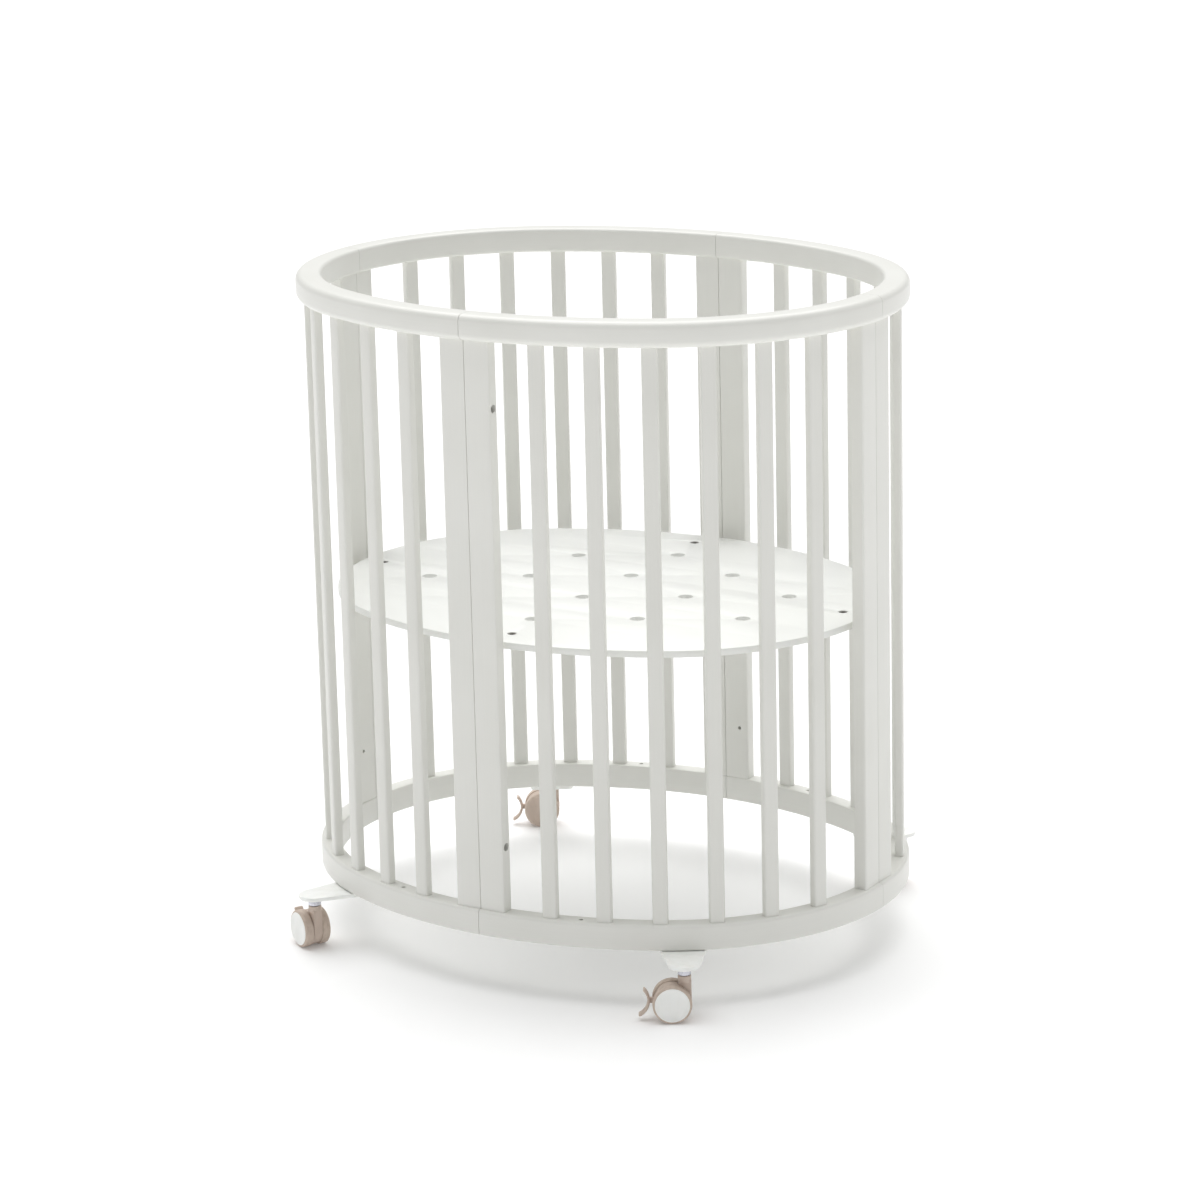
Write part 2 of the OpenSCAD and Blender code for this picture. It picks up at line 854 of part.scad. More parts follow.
// Countersunk head of a plate screw, or its seat, opening downward
module screw_head(extra) {
    head_h = (plate_screw_head_d - plate_screw_d) / 2;
    translate([0, 0, -extra])
        cylinder(d = plate_screw_head_d, h = extra + eps);
    cylinder(d1 = plate_screw_head_d, d2 = plate_screw_d, h = head_h);
}

module caster_plate(index) {
    color(CAP_WHITE)
        in_quadrant(PANELS[index])
            at_swivel()
                difference() {
                    translate([0, 0, plate_z])
                        linear_extrude(plate_t)
                            plate_outline();
                    translate([0, 0, plate_z - 1])
                        cylinder(d = spigot_d, h = spigot_h + 1);
                    at_plate_screws() {
                        translate([0, 0, -1])
                            cylinder(d = plate_screw_d, h = plate_t + 2);
                        screw_head(1);
                    }
                }
}

module plate_screws() {
    color(STEEL)
        for (panel = PANELS) {
            in_quadrant(panel)
                at_swivel()
                    at_plate_screws()
                        difference() {
                            union() {
                                cylinder(d = plate_screw_d, h = plate_t + plate_screw_l);
                                screw_head(0);
                            }
                            cube([plate_screw_d, 1, 2], center = true);
                            cube([1, plate_screw_d, 2], center = true);
                        }
        }
}

// Collar, the spigot riveted into the plate, and the swivel pin with its catch
module caster_stem(index) {
    color(STEEL)
        on_caster(index) {
            translate([0, 0, collar_z])
                cylinder(d = collar_d, h = collar_h);
            translate([0, 0, plate_z - eps])
                cylinder(d = spigot_d, h = spigot_h + eps);
            translate([0, 0, pin_end_z])
                cylinder(d = swivel_pin_d, h = swivel_pin_l + eps);
            translate([0, 0, pin_end_z])
                cylinder(d = catch_d, h = catch_h);
        }
}

// Puts the children on an axis across the caster, with their +Z along its +Y.
module across(point) {
    translate([point.x, 0, point.y])
        rotate([-90, 0, 0])
            children();
}

// Body between the wheels: a round web, the column in front of it and the boss under the collar
module caster_body(index) {
    front_x = -collar_d / 2;
    pocket_d = catch_d + 2 * catch_clearance;
    color(TAUPE)
        on_caster(index)
            difference() {
                union() {
                    across([trail, wheel_r])
                        cylinder(r = web_r, h = web_w, center = true, $fn = 96);
                    translate([front_x, -web_w / 2, web_front_z])
                        cube([trail - front_x, web_w, boss_top - boss_h + eps - web_front_z]);
                    translate([0, -web_w / 2, boss_top - boss_h])
                        cube([collar_d / 2, web_w, boss_h]);
                    translate([0, 0, boss_top - boss_h])
                        cylinder(d = collar_d, h = boss_h);
                }
                translate([0, 0, pin_end_z - catch_clearance])
                    cylinder(d = pocket_d, h = catch_h + 2 * catch_clearance);
                translate([0, 0, pin_end_z])
                    cylinder(d = swivel_pin_d + 2 * running_clearance, h = swivel_pin_l + 1);
                across([trail, wheel_r])
                    cylinder(d = axle_d, h = web_w + 2, center = true);
                across(pivot)
                    cylinder(d = pivot_d + 2 * running_clearance, h = web_w + 2, center = true);
                translate([pivot.x - eye_r - 0.6, -slot_w / 2, pivot.y - wheel_r / 2])
                    cube([wheel_r, slot_w, wheel_r]);
            }
}

module caster_axle(index) {
    color(STEEL)
        on_caster(index)
            across([trail, wheel_r]) {
                cylinder(d = axle_d, h = axle_l, center = true);
                for (side = [0, 1]) {
                    mirror([0, 0, side])
                        translate([0, 0, axle_l / 2 - axle_head_t])
                            cylinder(d = axle_head_d, h = axle_head_t);
                }
            }
}

// Half section of a wheel: x is its radius, y runs outward from its inner face.
module wheel_section() {
    seat_y = wheel_w - cap_seat;
    bore_r = axle_d / 2 + running_clearance;
    inner_edge_r = 1.5;
    difference() {
        union() {
            polygon([
                [bore_r, 0], [wheel_r - inner_edge_r, 0], [wheel_r, inner_edge_r],
                [wheel_r, wheel_w - wheel_edge_r], [wheel_r - wheel_edge_r, wheel_w], [bore_r, wheel_w]
            ]);
            translate([wheel_r - inner_edge_r, inner_edge_r])
                circle(r = inner_edge_r);
            translate([wheel_r - wheel_edge_r, wheel_w - wheel_edge_r])
                circle(r = wheel_edge_r);
        }
        translate([0, seat_y])
            square([cap_hole_d / 2, cap_seat + 1]);
        translate([0, seat_y - axle_seat_t])
            square([axle_head_d / 2 + 0.3, axle_seat_t + 1]);
    }
}

// side is +1 for the wheel on the caster's +Y side and -1 for the other.
module on_wheel_side(index, side) {
    on_caster(index)
        mirror([0, side < 0 ? 1 : 0, 0])
            across([trail, wheel_r])
                children();
}

module caster_wheel(index, side) {
    color(TAUPE)
        on_wheel_side(index, side)
            translate([0, 0, wheel_in])
                rotate_extrude($fn = 96)
                    wheel_section();
}

// Cap with a slightly hollow face and a small rounded rim
module caster_cap(index, side, tint) {
    cap_h = cap_seat + cap_proud;
    rim = 2;
    color(tint)
        on_wheel_side(index, side)
            translate([0, 0, seat_out])
                difference() {
                    cylinder(d = cap_d, h = cap_h, $fn = 96);
                    translate([0, 0, cap_h - 0.4])
                        cylinder(d1 = cap_d - 2 * rim, d2 = cap_d - 2 * rim + 2, h = 0.5, $fn = 96);
                }
}

// Rocker pedal curved round an axis behind it, its arm, and the eye with moulded pivots
module caster_lever(index) {
    color(TAUPE)
        on_caster(index) {
            across(pivot) {
                cylinder(r = eye_r, h = arm_t, center = true);
                cylinder(d = pivot_d, h = pivot_l, center = true);
            }
            translate([pivot.x, -arm_t / 2, pivot.y - arm_h / 2])
                cube([pedal_mid_x - pivot.x, arm_t, arm_h]);
            across(pedal_centre) {
                rotate([0, 0, 180 - pedal_down])
                    rotate_extrude(angle = pedal_up + pedal_down, $fn = 128)
                        translate([pedal_r - pedal_t / 2, -pedal_w / 2])
                            square([pedal_t, pedal_w]);
                for (end = [180 - pedal_down, 180 + pedal_up]) {
                    rotate([0, 0, end])
                        translate([pedal_r, 0, 0])
                            cylinder(d = pedal_t - 2 * join_trim, h = pedal_w - 2 * join_trim, center = true);
                }
            }
        }
}

// ---- Nodes ----

for (p = PANELS) {
    top_rail(p);
    bottom_rail(p);
    slats(p);
    posts(p);
}
for (i = [0 : len(PANELS) - 1]) {
    name = str(PANELS[i][0], "_caster_");
    // The white cap faces away from the crib: +Y on the front casters and -Y on the back ones.
    outer = PANELS[i][2] < 0 ? 1 : -1;
    caster_plate(i);
    caster_stem(i);
    caster_body(i);
    caster_axle(i);
    caster_wheel(i, outer);
    caster_wheel(i, -outer);
    caster_cap(i, outer, CAP_WHITE);
    caster_cap(i, -outer, TAUPE);
    caster_lever(i);
}
mattress_board();
board_brackets();
board_bolts();
bracket_screws();
panel_bolts();
seam_inserts();
seam_dowels();
plate_screws();
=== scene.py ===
"""Oval mini crib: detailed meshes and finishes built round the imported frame.

Every length is in metres, and every place comes from the frame or from the sizes that the classes hold.
"""

import logging
import math
from dataclasses import dataclass, field
from enum import Enum

import bmesh
import bpy
from mathutils import Matrix, Vector


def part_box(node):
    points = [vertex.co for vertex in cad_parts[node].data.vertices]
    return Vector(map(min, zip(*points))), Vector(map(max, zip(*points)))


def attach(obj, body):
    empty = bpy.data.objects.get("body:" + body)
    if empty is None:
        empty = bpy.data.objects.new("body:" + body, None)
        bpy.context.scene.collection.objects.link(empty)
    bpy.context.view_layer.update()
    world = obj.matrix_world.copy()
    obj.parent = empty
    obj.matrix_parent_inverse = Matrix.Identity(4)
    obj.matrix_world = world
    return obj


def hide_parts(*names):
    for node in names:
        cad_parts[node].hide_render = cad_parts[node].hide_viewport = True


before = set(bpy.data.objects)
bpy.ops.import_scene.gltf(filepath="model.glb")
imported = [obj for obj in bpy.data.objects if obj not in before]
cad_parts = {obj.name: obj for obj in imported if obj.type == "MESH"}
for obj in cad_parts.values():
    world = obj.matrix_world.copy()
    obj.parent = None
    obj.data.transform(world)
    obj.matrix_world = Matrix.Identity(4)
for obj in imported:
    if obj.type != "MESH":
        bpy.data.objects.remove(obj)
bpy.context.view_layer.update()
LOG = logging.getLogger("crib")
MM = 0.001
# Edges that turn by more than this stay sharp.
SMOOTH_ANGLE = math.radians(38)
# How far a cutter stands out of what it cuts.
OVERSHOOT = 2 * MM
# Points nearer to each other than this are one.
MERGE_DISTANCE = 1e-7


# ---- Finishes ----


def srgb(code: str) -> tuple[float, float, float, float]:
    """Turns an sRGB hex colour into linear RGBA.

    Args:
        code: six hex digits, such as "f1f1ec".

    Returns:
        The linear colour with an alpha of 1.
    """
    parts = [int(code[i:i + 2], 16) / 255 for i in (0, 2, 4)]
    linear = [c / 12.92 if c <= 0.04045 else ((c + 0.055) / 1.055) ** 2.4 for c in parts]
    return (linear[0], linear[1], linear[2], 1.0)


def add_node(tree: bpy.types.NodeTree, kind: str, inputs: dict | None = None,
             **settings: object) -> bpy.types.Node:
    """Adds a node with its settings, and sets or links its inputs.

    Args:
        tree: the tree that the node goes in.
        kind: the node's type name.
        inputs: input name or number to a value, or to the output socket that feeds it.
        **settings: the node's own properties.

    Returns:
        The new node.
    """
    node = tree.nodes.new(kind)
    for name, value in settings.items():
        setattr(node, name, value)
    for key, value in (inputs or {}).items():
        socket = node.inputs[key]
        if isinstance(value, bpy.types.NodeSocket):
            tree.links.new(value, socket)
        else:
            socket.default_value = value
    return node


class Boolean(Enum):
    """What a tool does to a mesh."""

    CUT = "DIFFERENCE"
    ADD = "UNION"


class GrainPath(Enum):
    """Which way a piece's wood grain runs."""

    UPRIGHT = "upright"
    ALONG_RAIL = "along_rail"
    FLAT = "flat"


@dataclass(frozen=True)
class Finish:
    """A surface: what it is made of, its colours and its gloss."""

    name: str
    colour: str
    second_colour: str
    roughness: float
    metallic: float = 0.0

    def material(self) -> bpy.types.Material:
        """Gives this finish's material, made on its first use."""
        known = bpy.data.materials.get(self.name)
        if known:
            return known
        material = bpy.data.materials.new(self.name)
        material.use_nodes = True
        tree = material.node_tree
        tree.nodes.clear()
        shader = add_node(tree, "ShaderNodeBsdfPrincipled", {"Metallic": self.metallic})
        add_node(tree, "ShaderNodeOutputMaterial", {"Surface": shader.outputs["BSDF"]})
        self.dress(tree, shader)
        return material

    def dress(self, tree: bpy.types.NodeTree, shader: bpy.types.Node) -> None:
        """Colours the shader and gives it its texture; each finish has its own way.

        Args:
            tree: the material's node tree.
            shader: its principled shader.
        """
        raise NotImplementedError

    def noise(self, tree: bpy.types.NodeTree, space: bpy.types.NodeSocket, size: float,
              stretch: tuple[float, float, float] = (1, 1, 1), detail: float = 3.0) -> bpy.types.NodeSocket:
        """Adds a noise of a real size.

        Args:
            tree: the material's node tree.
            space: the coordinates that it follows, in metres.
            size: the width of its marks, in metres.
            stretch: how many times longer the marks are along each axis.
            detail: how much fine detail it has.

        Returns:
            The noise's value.
        """
        scale = tuple(1 / s for s in stretch)
        turned = add_node(tree, "ShaderNodeMapping", {"Vector": space, "Scale": scale})
        marks = {"Vector": turned.outputs[0], "Scale": 1 / size, "Detail": detail, "Roughness": 0.55}
        return add_node(tree, "ShaderNodeTexNoise", marks).outputs["Fac"]

    def tint(self, tree: bpy.types.NodeTree, shader: bpy.types.Node, factor: bpy.types.NodeSocket,
             low: float, high: float) -> None:
        """Blends the two colours where a pattern runs from low to high.

        Args:
            tree: the material's node tree.
            shader: its principled shader.
            factor: the pattern.
            low: the pattern's value that gives the first colour.
            high: the pattern's value that gives the second colour.
        """
        band = add_node(tree, "ShaderNodeMapRange", {"Value": factor, "From Min": low, "From Max": high})
        mix = add_node(tree, "ShaderNodeMix", {"Factor": band.outputs[0]}, data_type="RGBA")
        mix.inputs[6].default_value = srgb(self.colour)
        mix.inputs[7].default_value = srgb(self.second_colour)
        tree.links.new(mix.outputs[2], shader.inputs["Base Color"])

    def gloss(self, tree: bpy.types.NodeTree, shader: bpy.types.Node, factor: bpy.types.NodeSocket,
              spread: float) -> None:
        """Varies the roughness round its value by a pattern.

        Args:
            tree: the material's node tree.
            shader: its principled shader.
            factor: the pattern.
            spread: how far the roughness goes to each side.
        """
        limits = {"Value": factor, "From Min": 0.3, "From Max": 0.7,
                  "To Min": self.roughness - spread, "To Max": self.roughness + spread}
        band = add_node(tree, "ShaderNodeMapRange", limits)
        tree.links.new(band.outputs[0], shader.inputs["Roughness"])

    def relief(self, tree: bpy.types.NodeTree, shader: bpy.types.Node,
               layers: list[tuple[bpy.types.NodeSocket, float]]) -> None:
        """Stacks bumps, each a pattern and its height in metres, onto the shader's normal.

        Args:
            tree: the material's node tree.
            shader: its principled shader.
            layers: the patterns and their heights.
        """
        normal = None
        for pattern, height in layers:
            inputs = {"Height": pattern, "Distance": height, "Strength": 1.0}
            if normal:
                inputs["Normal"] = normal
            normal = add_node(tree, "ShaderNodeBump", inputs).outputs["Normal"]
        tree.links.new(normal, shader.inputs["Normal"])


@dataclass(frozen=True)
class LacqueredBeech(Finish):
    """Beech, sprayed with satin white lacquer: the grain shows faintly and the film has a soft peel."""

    grain: GrainPath = GrainPath.UPRIGHT
    # Beech grain is under 1 mm wide; it is drawn at 2.5 mm so that it shows from across a room.
    grain_width: float = 2.5 * MM
    # Sprayed lacquer pulls into dimples of about 3 mm.
    peel_size: float = 3 * MM

    def dress(self, tree: bpy.types.NodeTree, shader: bpy.types.Node) -> None:
        """Gives the lacquer its two warm whites, faint grain and peel.

        Args:
            tree: the material's node tree.
            shader: its principled shader.
        """
        place = add_node(tree, "ShaderNodeTexCoord")
        if self.grain is GrainPath.ALONG_RAIL:
            space, stretch = place.outputs["UV"], (40, 1, 1)
        elif self.grain is GrainPath.UPRIGHT:
            space, stretch = place.outputs["Object"], (1, 1, 40)
        else:
            space, stretch = place.outputs["Object"], (40, 1, 1)
        grain = self.noise(tree, space, self.grain_width, stretch, detail=4)
        peel = self.noise(tree, place.outputs["Object"], self.peel_size, detail=2)
        cloud = self.noise(tree, place.outputs["Object"], 120 * MM, detail=2)
        plank = add_node(tree, "ShaderNodeAttribute", attribute_name="plank").outputs["Fac"]
        blend = add_node(tree, "ShaderNodeMath", {0: plank, 1: 0.22, 2: cloud}, operation="MULTIPLY_ADD")
        streak = add_node(tree, "ShaderNodeMath", {0: grain, 1: 0.35, 2: blend.outputs[0]},
                          operation="MULTIPLY_ADD")
        self.tint(tree, shader, streak.outputs[0], 0.35, 1.15)
        self.gloss(tree, shader, peel, 0.05)
        self.relief(tree, shader, [(grain, 0.06 * MM), (peel, 0.05 * MM)])
        shader.inputs["IOR"].default_value = 1.5
        shader.inputs["Coat Weight"].default_value = 0.15
        shader.inputs["Coat Roughness"].default_value = 0.25


@dataclass(frozen=True)
class MelamineBoard(Finish):
    """Fibreboard faced with pressed melamine: hard, white, and finely pebbled."""

    # The press plate's pebbles are about 0.5 mm; they are drawn at 1.6 mm so that they show.
    pebble: float = 1.6 * MM

    def dress(self, tree: bpy.types.NodeTree, shader: bpy.types.Node) -> None:
        """Gives the facing its pebbles and a slow change of white.

        Args:
            tree: the material's node tree.
            shader: its principled shader.
        """
        space = add_node(tree, "ShaderNodeTexCoord").outputs["Object"]
        pebbles = self.noise(tree, space, self.pebble, detail=2)
        cloud = self.noise(tree, space, 180 * MM, detail=2)
        self.tint(tree, shader, cloud, 0.35, 0.8)
        self.gloss(tree, shader, pebbles, 0.06)
        self.relief(tree, shader, [(pebbles, 0.05 * MM)])
        shader.inputs["IOR"].default_value = 1.5


@dataclass(frozen=True)
class MouldedPlastic(Finish):
    """Injection-moulded plastic: even colour, with the fine spark texture of its mould."""

    # Spark texture is about 0.2 mm; it is drawn at 0.7 mm so that it shows.
    spark: float = 0.7 * MM
    spark_height: float = 0.04 * MM
    ior: float = 1.53

    def dress(self, tree: bpy.types.NodeTree, shader: bpy.types.Node) -> None:
        """Gives the plastic its mould texture and faint flow marks.

        Args:
            tree: the material's node tree.
            shader: its principled shader.
        """
        space = add_node(tree, "ShaderNodeTexCoord").outputs["Object"]
        spark = self.noise(tree, space, self.spark, detail=2)
        flow = self.noise(tree, space, 14 * MM, (1, 1, 2.5), detail=3)
        self.tint(tree, shader, flow, 0.4, 0.75)
        self.gloss(tree, shader, spark, 0.07)
        self.relief(tree, shader, [(spark, self.spark_height)])
        shader.inputs["IOR"].default_value = self.ior
        shader.inputs["Subsurface Weight"].default_value = 0.03
        shader.inputs["Subsurface Radius"].default_value = (0.003, 0.002, 0.0015)


@dataclass(frozen=True)
class RolledTread(MouldedPlastic):
    """Moulded polyurethane tyre: softer and duller than the body, with scuffs from rolling."""

    def dress(self, tree: bpy.types.NodeTree, shader: bpy.types.Node) -> None:
        """Gives the tread its mould texture, and scuffs of about 5 mm.

        Args:
            tree: the material's node tree.
            shader: its principled shader.
        """
        space = add_node(tree, "ShaderNodeTexCoord").outputs["Object"]
        spark = self.noise(tree, space, self.spark, detail=2)
        scuff = self.noise(tree, space, 5 * MM, (1, 1, 1.6), detail=5)
        self.tint(tree, shader, scuff, 0.45, 0.8)
        self.gloss(tree, shader, scuff, 0.1)
        self.relief(tree, shader, [(spark, self.spark_height), (scuff, 0.05 * MM)])
        shader.inputs["IOR"].default_value = self.ior


@dataclass(frozen=True)
class PlatedSteel(Finish):
    """Turned steel with a thin plated or blackened skin: fine lathe rings and soft blotches of gloss."""

    # Tool marks are about 0.15 mm apart; they are drawn at 0.4 mm so that they show.
    tool_mark: float = 0.4 * MM

    def dress(self, tree: bpy.types.NodeTree, shader: bpy.types.Node) -> None:
        """Gives the metal its tool marks and uneven plating.

        Args:
            tree: the material's node tree.
            shader: its principled shader.
        """
        space = add_node(tree, "ShaderNodeTexCoord").outputs["Object"]
        rings = self.noise(tree, space, self.tool_mark, (12, 12, 1), detail=2)
        blotch = self.noise(tree, space, 4 * MM, detail=3)
        self.tint(tree, shader, blotch, 0.35, 0.75)
        self.gloss(tree, shader, blotch, 0.08)
        self.relief(tree, shader, [(rings, 0.01 * MM)])


@dataclass(frozen=True)
class PowderCoat(Finish):
    """Pressed steel with baked powder: a dense, even orange peel."""

    # Powder flows out to a peel of about 1 mm.
    peel: float = 1 * MM

    def dress(self, tree: bpy.types.NodeTree, shader: bpy.types.Node) -> None:
        """Gives the powder its peel.

        Args:
            tree: the material's node tree.
            shader: its principled shader.
        """
        space = add_node(tree, "ShaderNodeTexCoord").outputs["Object"]
        peel = self.noise(tree, space, self.peel, detail=2)
        self.tint(tree, shader, peel, 0.35, 0.8)
        self.gloss(tree, shader, peel, 0.06)
        self.relief(tree, shader, [(peel, 0.04 * MM)])
        shader.inputs["IOR"].default_value = 1.5


@dataclass(frozen=True)
class StudioPaper(Finish):
    """Seamless background paper: matt, with faint clouding, and lit from behind so that shadows stay pale."""

    glow: float = 0.1

    def dress(self, tree: bpy.types.NodeTree, shader: bpy.types.Node) -> None:
        """Gives the paper its faint clouding, drawn at 300 mm.

        Args:
            tree: the material's node tree.
            shader: its principled shader.
        """
        space = add_node(tree, "ShaderNodeTexCoord").outputs["Object"]
        self.tint(tree, shader, self.noise(tree, space, 0.3, detail=2), 0.3, 0.8)
        shader.inputs["Roughness"].default_value = self.roughness
        shader.inputs["Specular IOR Level"].default_value = 0.1
        shader.inputs["Emission Color"].default_value = srgb(self.colour)
        shader.inputs["Emission Strength"].default_value = self.glow


SLAT_LACQUER = LacqueredBeech("satin_lacquered_beech_upright", "e9e9e4", "e1e1db", 0.42)
RAIL_LACQUER = LacqueredBeech("satin_lacquered_beech_bent", "e9e9e4", "e1e1db", 0.4,
                              grain=GrainPath.ALONG_RAIL)
DOWEL_BEECH = LacqueredBeech("turned_beech", "d9bb8f", "c9a676", 0.6, grain=GrainPath.FLAT)
BOARD_MELAMINE = MelamineBoard("pressed_melamine_board", "f1f2ef", "ebece8", 0.36)
TAUPE_NYLON = MouldedPlastic("moulded_nylon_taupe", "cdbcaf", "bfad9f", 0.46)
WHITE_ABS = MouldedPlastic("moulded_abs_white", "fcfdfa", "f4f5f1", 0.38)
TAUPE_TREAD = RolledTread("moulded_polyurethane_tread", "cbbaac", "b9a798", 0.58)
BRIGHT_ZINC = PlatedSteel("bright_zinc_plated_steel", "d2d2da", "bcbcc4", 0.26, metallic=1.0)
DARK_OXIDE = PlatedSteel("black_oxide_steel", "77726c", "5c5751", 0.42, metallic=1.0)
CREAM_POWDER = PowderCoat("powder_coated_steel", "dedacd", "d2cdbf", 0.5)
FLOOR_PAPER = StudioPaper("seamless_studio_paper", "f7f7f7", "f4f4f4", 0.9)


# ---- Mesh tools ----


def finished(name: str, mesh: bpy.types.Mesh, finish: Finish) -> bpy.types.Object:
    """Makes an object of a mesh, smooth but for its sharp edges.

    Args:
        name: the object's name.
        mesh: its mesh.
        finish: the surface that it takes.

    Returns:
        The object, linked to the scene.
    """
    mesh.shade_smooth()
    mesh.set_sharp_from_angle(angle=SMOOTH_ANGLE)
    mesh.materials.clear()
    mesh.materials.append(finish.material())
    piece = bpy.data.objects.new(name, mesh)
    bpy.context.scene.collection.objects.link(piece)
    return piece


def loft(rings: list[list[Vector]], loop: bool = False, along: list[float] | None = None) -> bpy.types.Mesh:
    """Skins a row of closed rings that have the same number of points.

    Args:
        rings: the rings, in order.
        loop: joins the last ring to the first; otherwise both ends are capped.
        along: each ring's distance along the piece, which makes a UV map in metres.

    Returns:
        A closed mesh whose faces point outward.
    """
    shell = bmesh.new()
    rows = [[shell.verts.new(point) for point in ring] for ring in rings]
    count = len(rings[0])
    steps = range(len(rows) if loop else len(rows) - 1)
    girth = [0.0]
    for j in range(count):
        girth.append(girth[-1] + (rings[0][j] - rings[0][(j + 1) % count]).length)
    uv = shell.loops.layers.uv.new("grain") if along else None
    for i in steps:
        for j in range(count):
            corners = [(i, j), (i, j + 1), (i + 1, j + 1), (i + 1, j)]
            face = shell.faces.new([rows[a % len(rows)][b % count] for a, b in corners])
            if uv:
                for corner, (a, b) in zip(face.loops, corners):
                    corner[uv].uv = (along[a], girth[b])
    if not loop:
        shell.faces.new(rows[0])
        shell.faces.new(rows[-1])
    bmesh.ops.remove_doubles(shell, verts=shell.verts, dist=MERGE_DISTANCE)
    bmesh.ops.recalc_face_normals(shell, faces=shell.faces)
    mesh = bpy.data.meshes.new("loft")
    shell.to_mesh(mesh)
    shell.free()
    return mesh


def circle(radius: float, height: float, segments: int) -> list[Vector]:
    """Gives a level ring of points round the Z axis."""
    turns = [2 * math.pi * i / segments for i in range(segments)]
    return [Vector((radius * math.cos(t), radius * math.sin(t), height)) for t in turns]


def lathe(profile: list[tuple[float, float]], segments: int = 64, loop: bool = False) -> bpy.types.Mesh:
    """Turns a profile round the Z axis.

    Args:
        profile: radius and height of each point.
        segments: how many steps go round.
        loop: the profile is a closed section; otherwise its ends are capped.

    Returns:
        The closed mesh.
    """
    return loft([circle(r, h, segments) for r, h in profile], loop)


def arc(centre: tuple[float, float], radius: float, start: float, end: float,
        steps: int) -> list[tuple[float, float]]:
    """Gives points along an arc, from one angle in degrees to another, both ends included."""
    angles = [math.radians(start + (end - start) * i / steps) for i in range(steps + 1)]
    return [(centre[0] + radius * math.cos(a), centre[1] + radius * math.sin(a)) for a in angles]


def rounded_box(low: tuple[float, float], high: tuple[float, float], left: float, right: float,
                steps: int = 6) -> list[tuple[float, float]]:
    """Gives a rectangle's outline with one radius on its left corners and one on its right.

    Args:
        low: the rectangle's lower left corner.
        high: its upper right corner.
        left: the radius of both left corners.
        right: the radius of both right corners.
        steps: how many steps make a corner.

    Returns:
        The outline's points, counter-clockwise.
    """
    return (arc((high[0] - right, low[1] + right), right, -90, 0, steps)
            + arc((high[0] - right, high[1] - right), right, 0, 90, steps)
            + arc((low[0] + left, high[1] - left), left, 90, 180, steps)
            + arc((low[0] + left, low[1] + left), left, 180, 270, steps))


def cylinder(radius: float, start: Vector, end: Vector, segments: int = 40) -> bpy.types.Mesh:
    """Makes a plain round cutter or boss from one point to another.

    Args:
        radius: its radius.
        start: the middle of its first end.
        end: the middle of its other end.
        segments: how many steps go round.

    Returns:
        The closed mesh.
    """
    axis = end - start
    mesh = lathe([(radius, 0), (radius, axis.length)], segments)
    mesh.transform(Matrix.Translation(start) @ axis.to_track_quat("Z", "Y").to_matrix().to_4x4())
    return mesh


def placed(mesh: bpy.types.Mesh, matrix: Matrix) -> bpy.types.Mesh:
    """Moves a mesh, and turns its faces back outward if the move mirrors it.

    Args:
        mesh: the mesh to move.
        matrix: the move.

    Returns:
        The same mesh.
    """
    mesh.transform(matrix)
    if matrix.to_3x3().determinant() < 0:
        mesh.flip_normals()
    return mesh


def joined(meshes: list[bpy.types.Mesh]) -> bpy.types.Mesh:
    """Puts several separate shells into one mesh.

    Args:
        meshes: the shells, which are deleted.

    Returns:
        One mesh with all of them.
    """
    shell = bmesh.new()
    for mesh in meshes:
        shell.from_mesh(mesh)
        bpy.data.meshes.remove(mesh)
    whole = bpy.data.meshes.new("joined")
    shell.to_mesh(whole)
    shell.free()
    return whole


def evaluated(piece: bpy.types.Object) -> bpy.types.Mesh:
    """Turns a piece with its modifiers into a plain mesh, and deletes the piece.

    Args:
        piece: the object, which is deleted.

    Returns:
        Its plain mesh.
    """
    graph = bpy.context.evaluated_depsgraph_get()
    mesh = bpy.data.meshes.new_from_object(piece.evaluated_get(graph))
    bpy.data.objects.remove(piece)
    return mesh


def scratch(mesh: bpy.types.Mesh) -> bpy.types.Object:
    """Makes a working object that is deleted before the scene is done.

    Args:
        mesh: its mesh.

    Returns:
        The object, linked to the scene.
    """
    piece = bpy.data.objects.new("scratch", mesh)
    bpy.context.scene.collection.objects.link(piece)
    return piece


def combined(mesh: bpy.types.Mesh, tool: bpy.types.Mesh, operation: Boolean) -> bpy.types.Mesh:
    """Cuts a tool out of a mesh or adds it.

    Args:
        mesh: the closed mesh to change.
        tool: the closed mesh that cuts or adds.
        operation: whether it cuts or adds.

    Returns:
        The new mesh.
    """
    piece = scratch(mesh)
    other = scratch(tool)
    step = piece.modifiers.new("step", "BOOLEAN")
    step.object = other
    step.operation = operation.value
    step.solver = "EXACT"
    result = evaluated(piece)
    bpy.data.objects.remove(other)
    return result


def eased(mesh: bpy.types.Mesh, width: float, segments: int = 2) -> bpy.types.Mesh:
    """Rounds a mesh's sharp edges a little, as a moulding or a sanding block leaves them.

    Args:
        mesh: the mesh to round.
        width: how wide the rounding is.
        segments: how many steps it has.

    Returns:
        The new mesh.
    """
    piece = scratch(mesh)
    step = piece.modifiers.new("ease", "BEVEL")
    step.width = width
    step.segments = segments
    step.limit_method = "ANGLE"
    step.angle_limit = SMOOTH_ANGLE
    step.use_clamp_overlap = True
    return evaluated(piece)


def handed_over(piece: bpy.types.Object, body: str, node: str) -> None:
    """Rides a piece on its body in place of its CAD node, and reports it.

    Args:
        piece: the finished piece.
        body: the body that it moves with.
        node: the CAD node that it stands for.
    """
    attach(piece, body)
    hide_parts(node)
    LOG.info("%s: %d faces on %s", piece.name, len(piece.data.polygons), body)


# ---- Geometry node trees ----


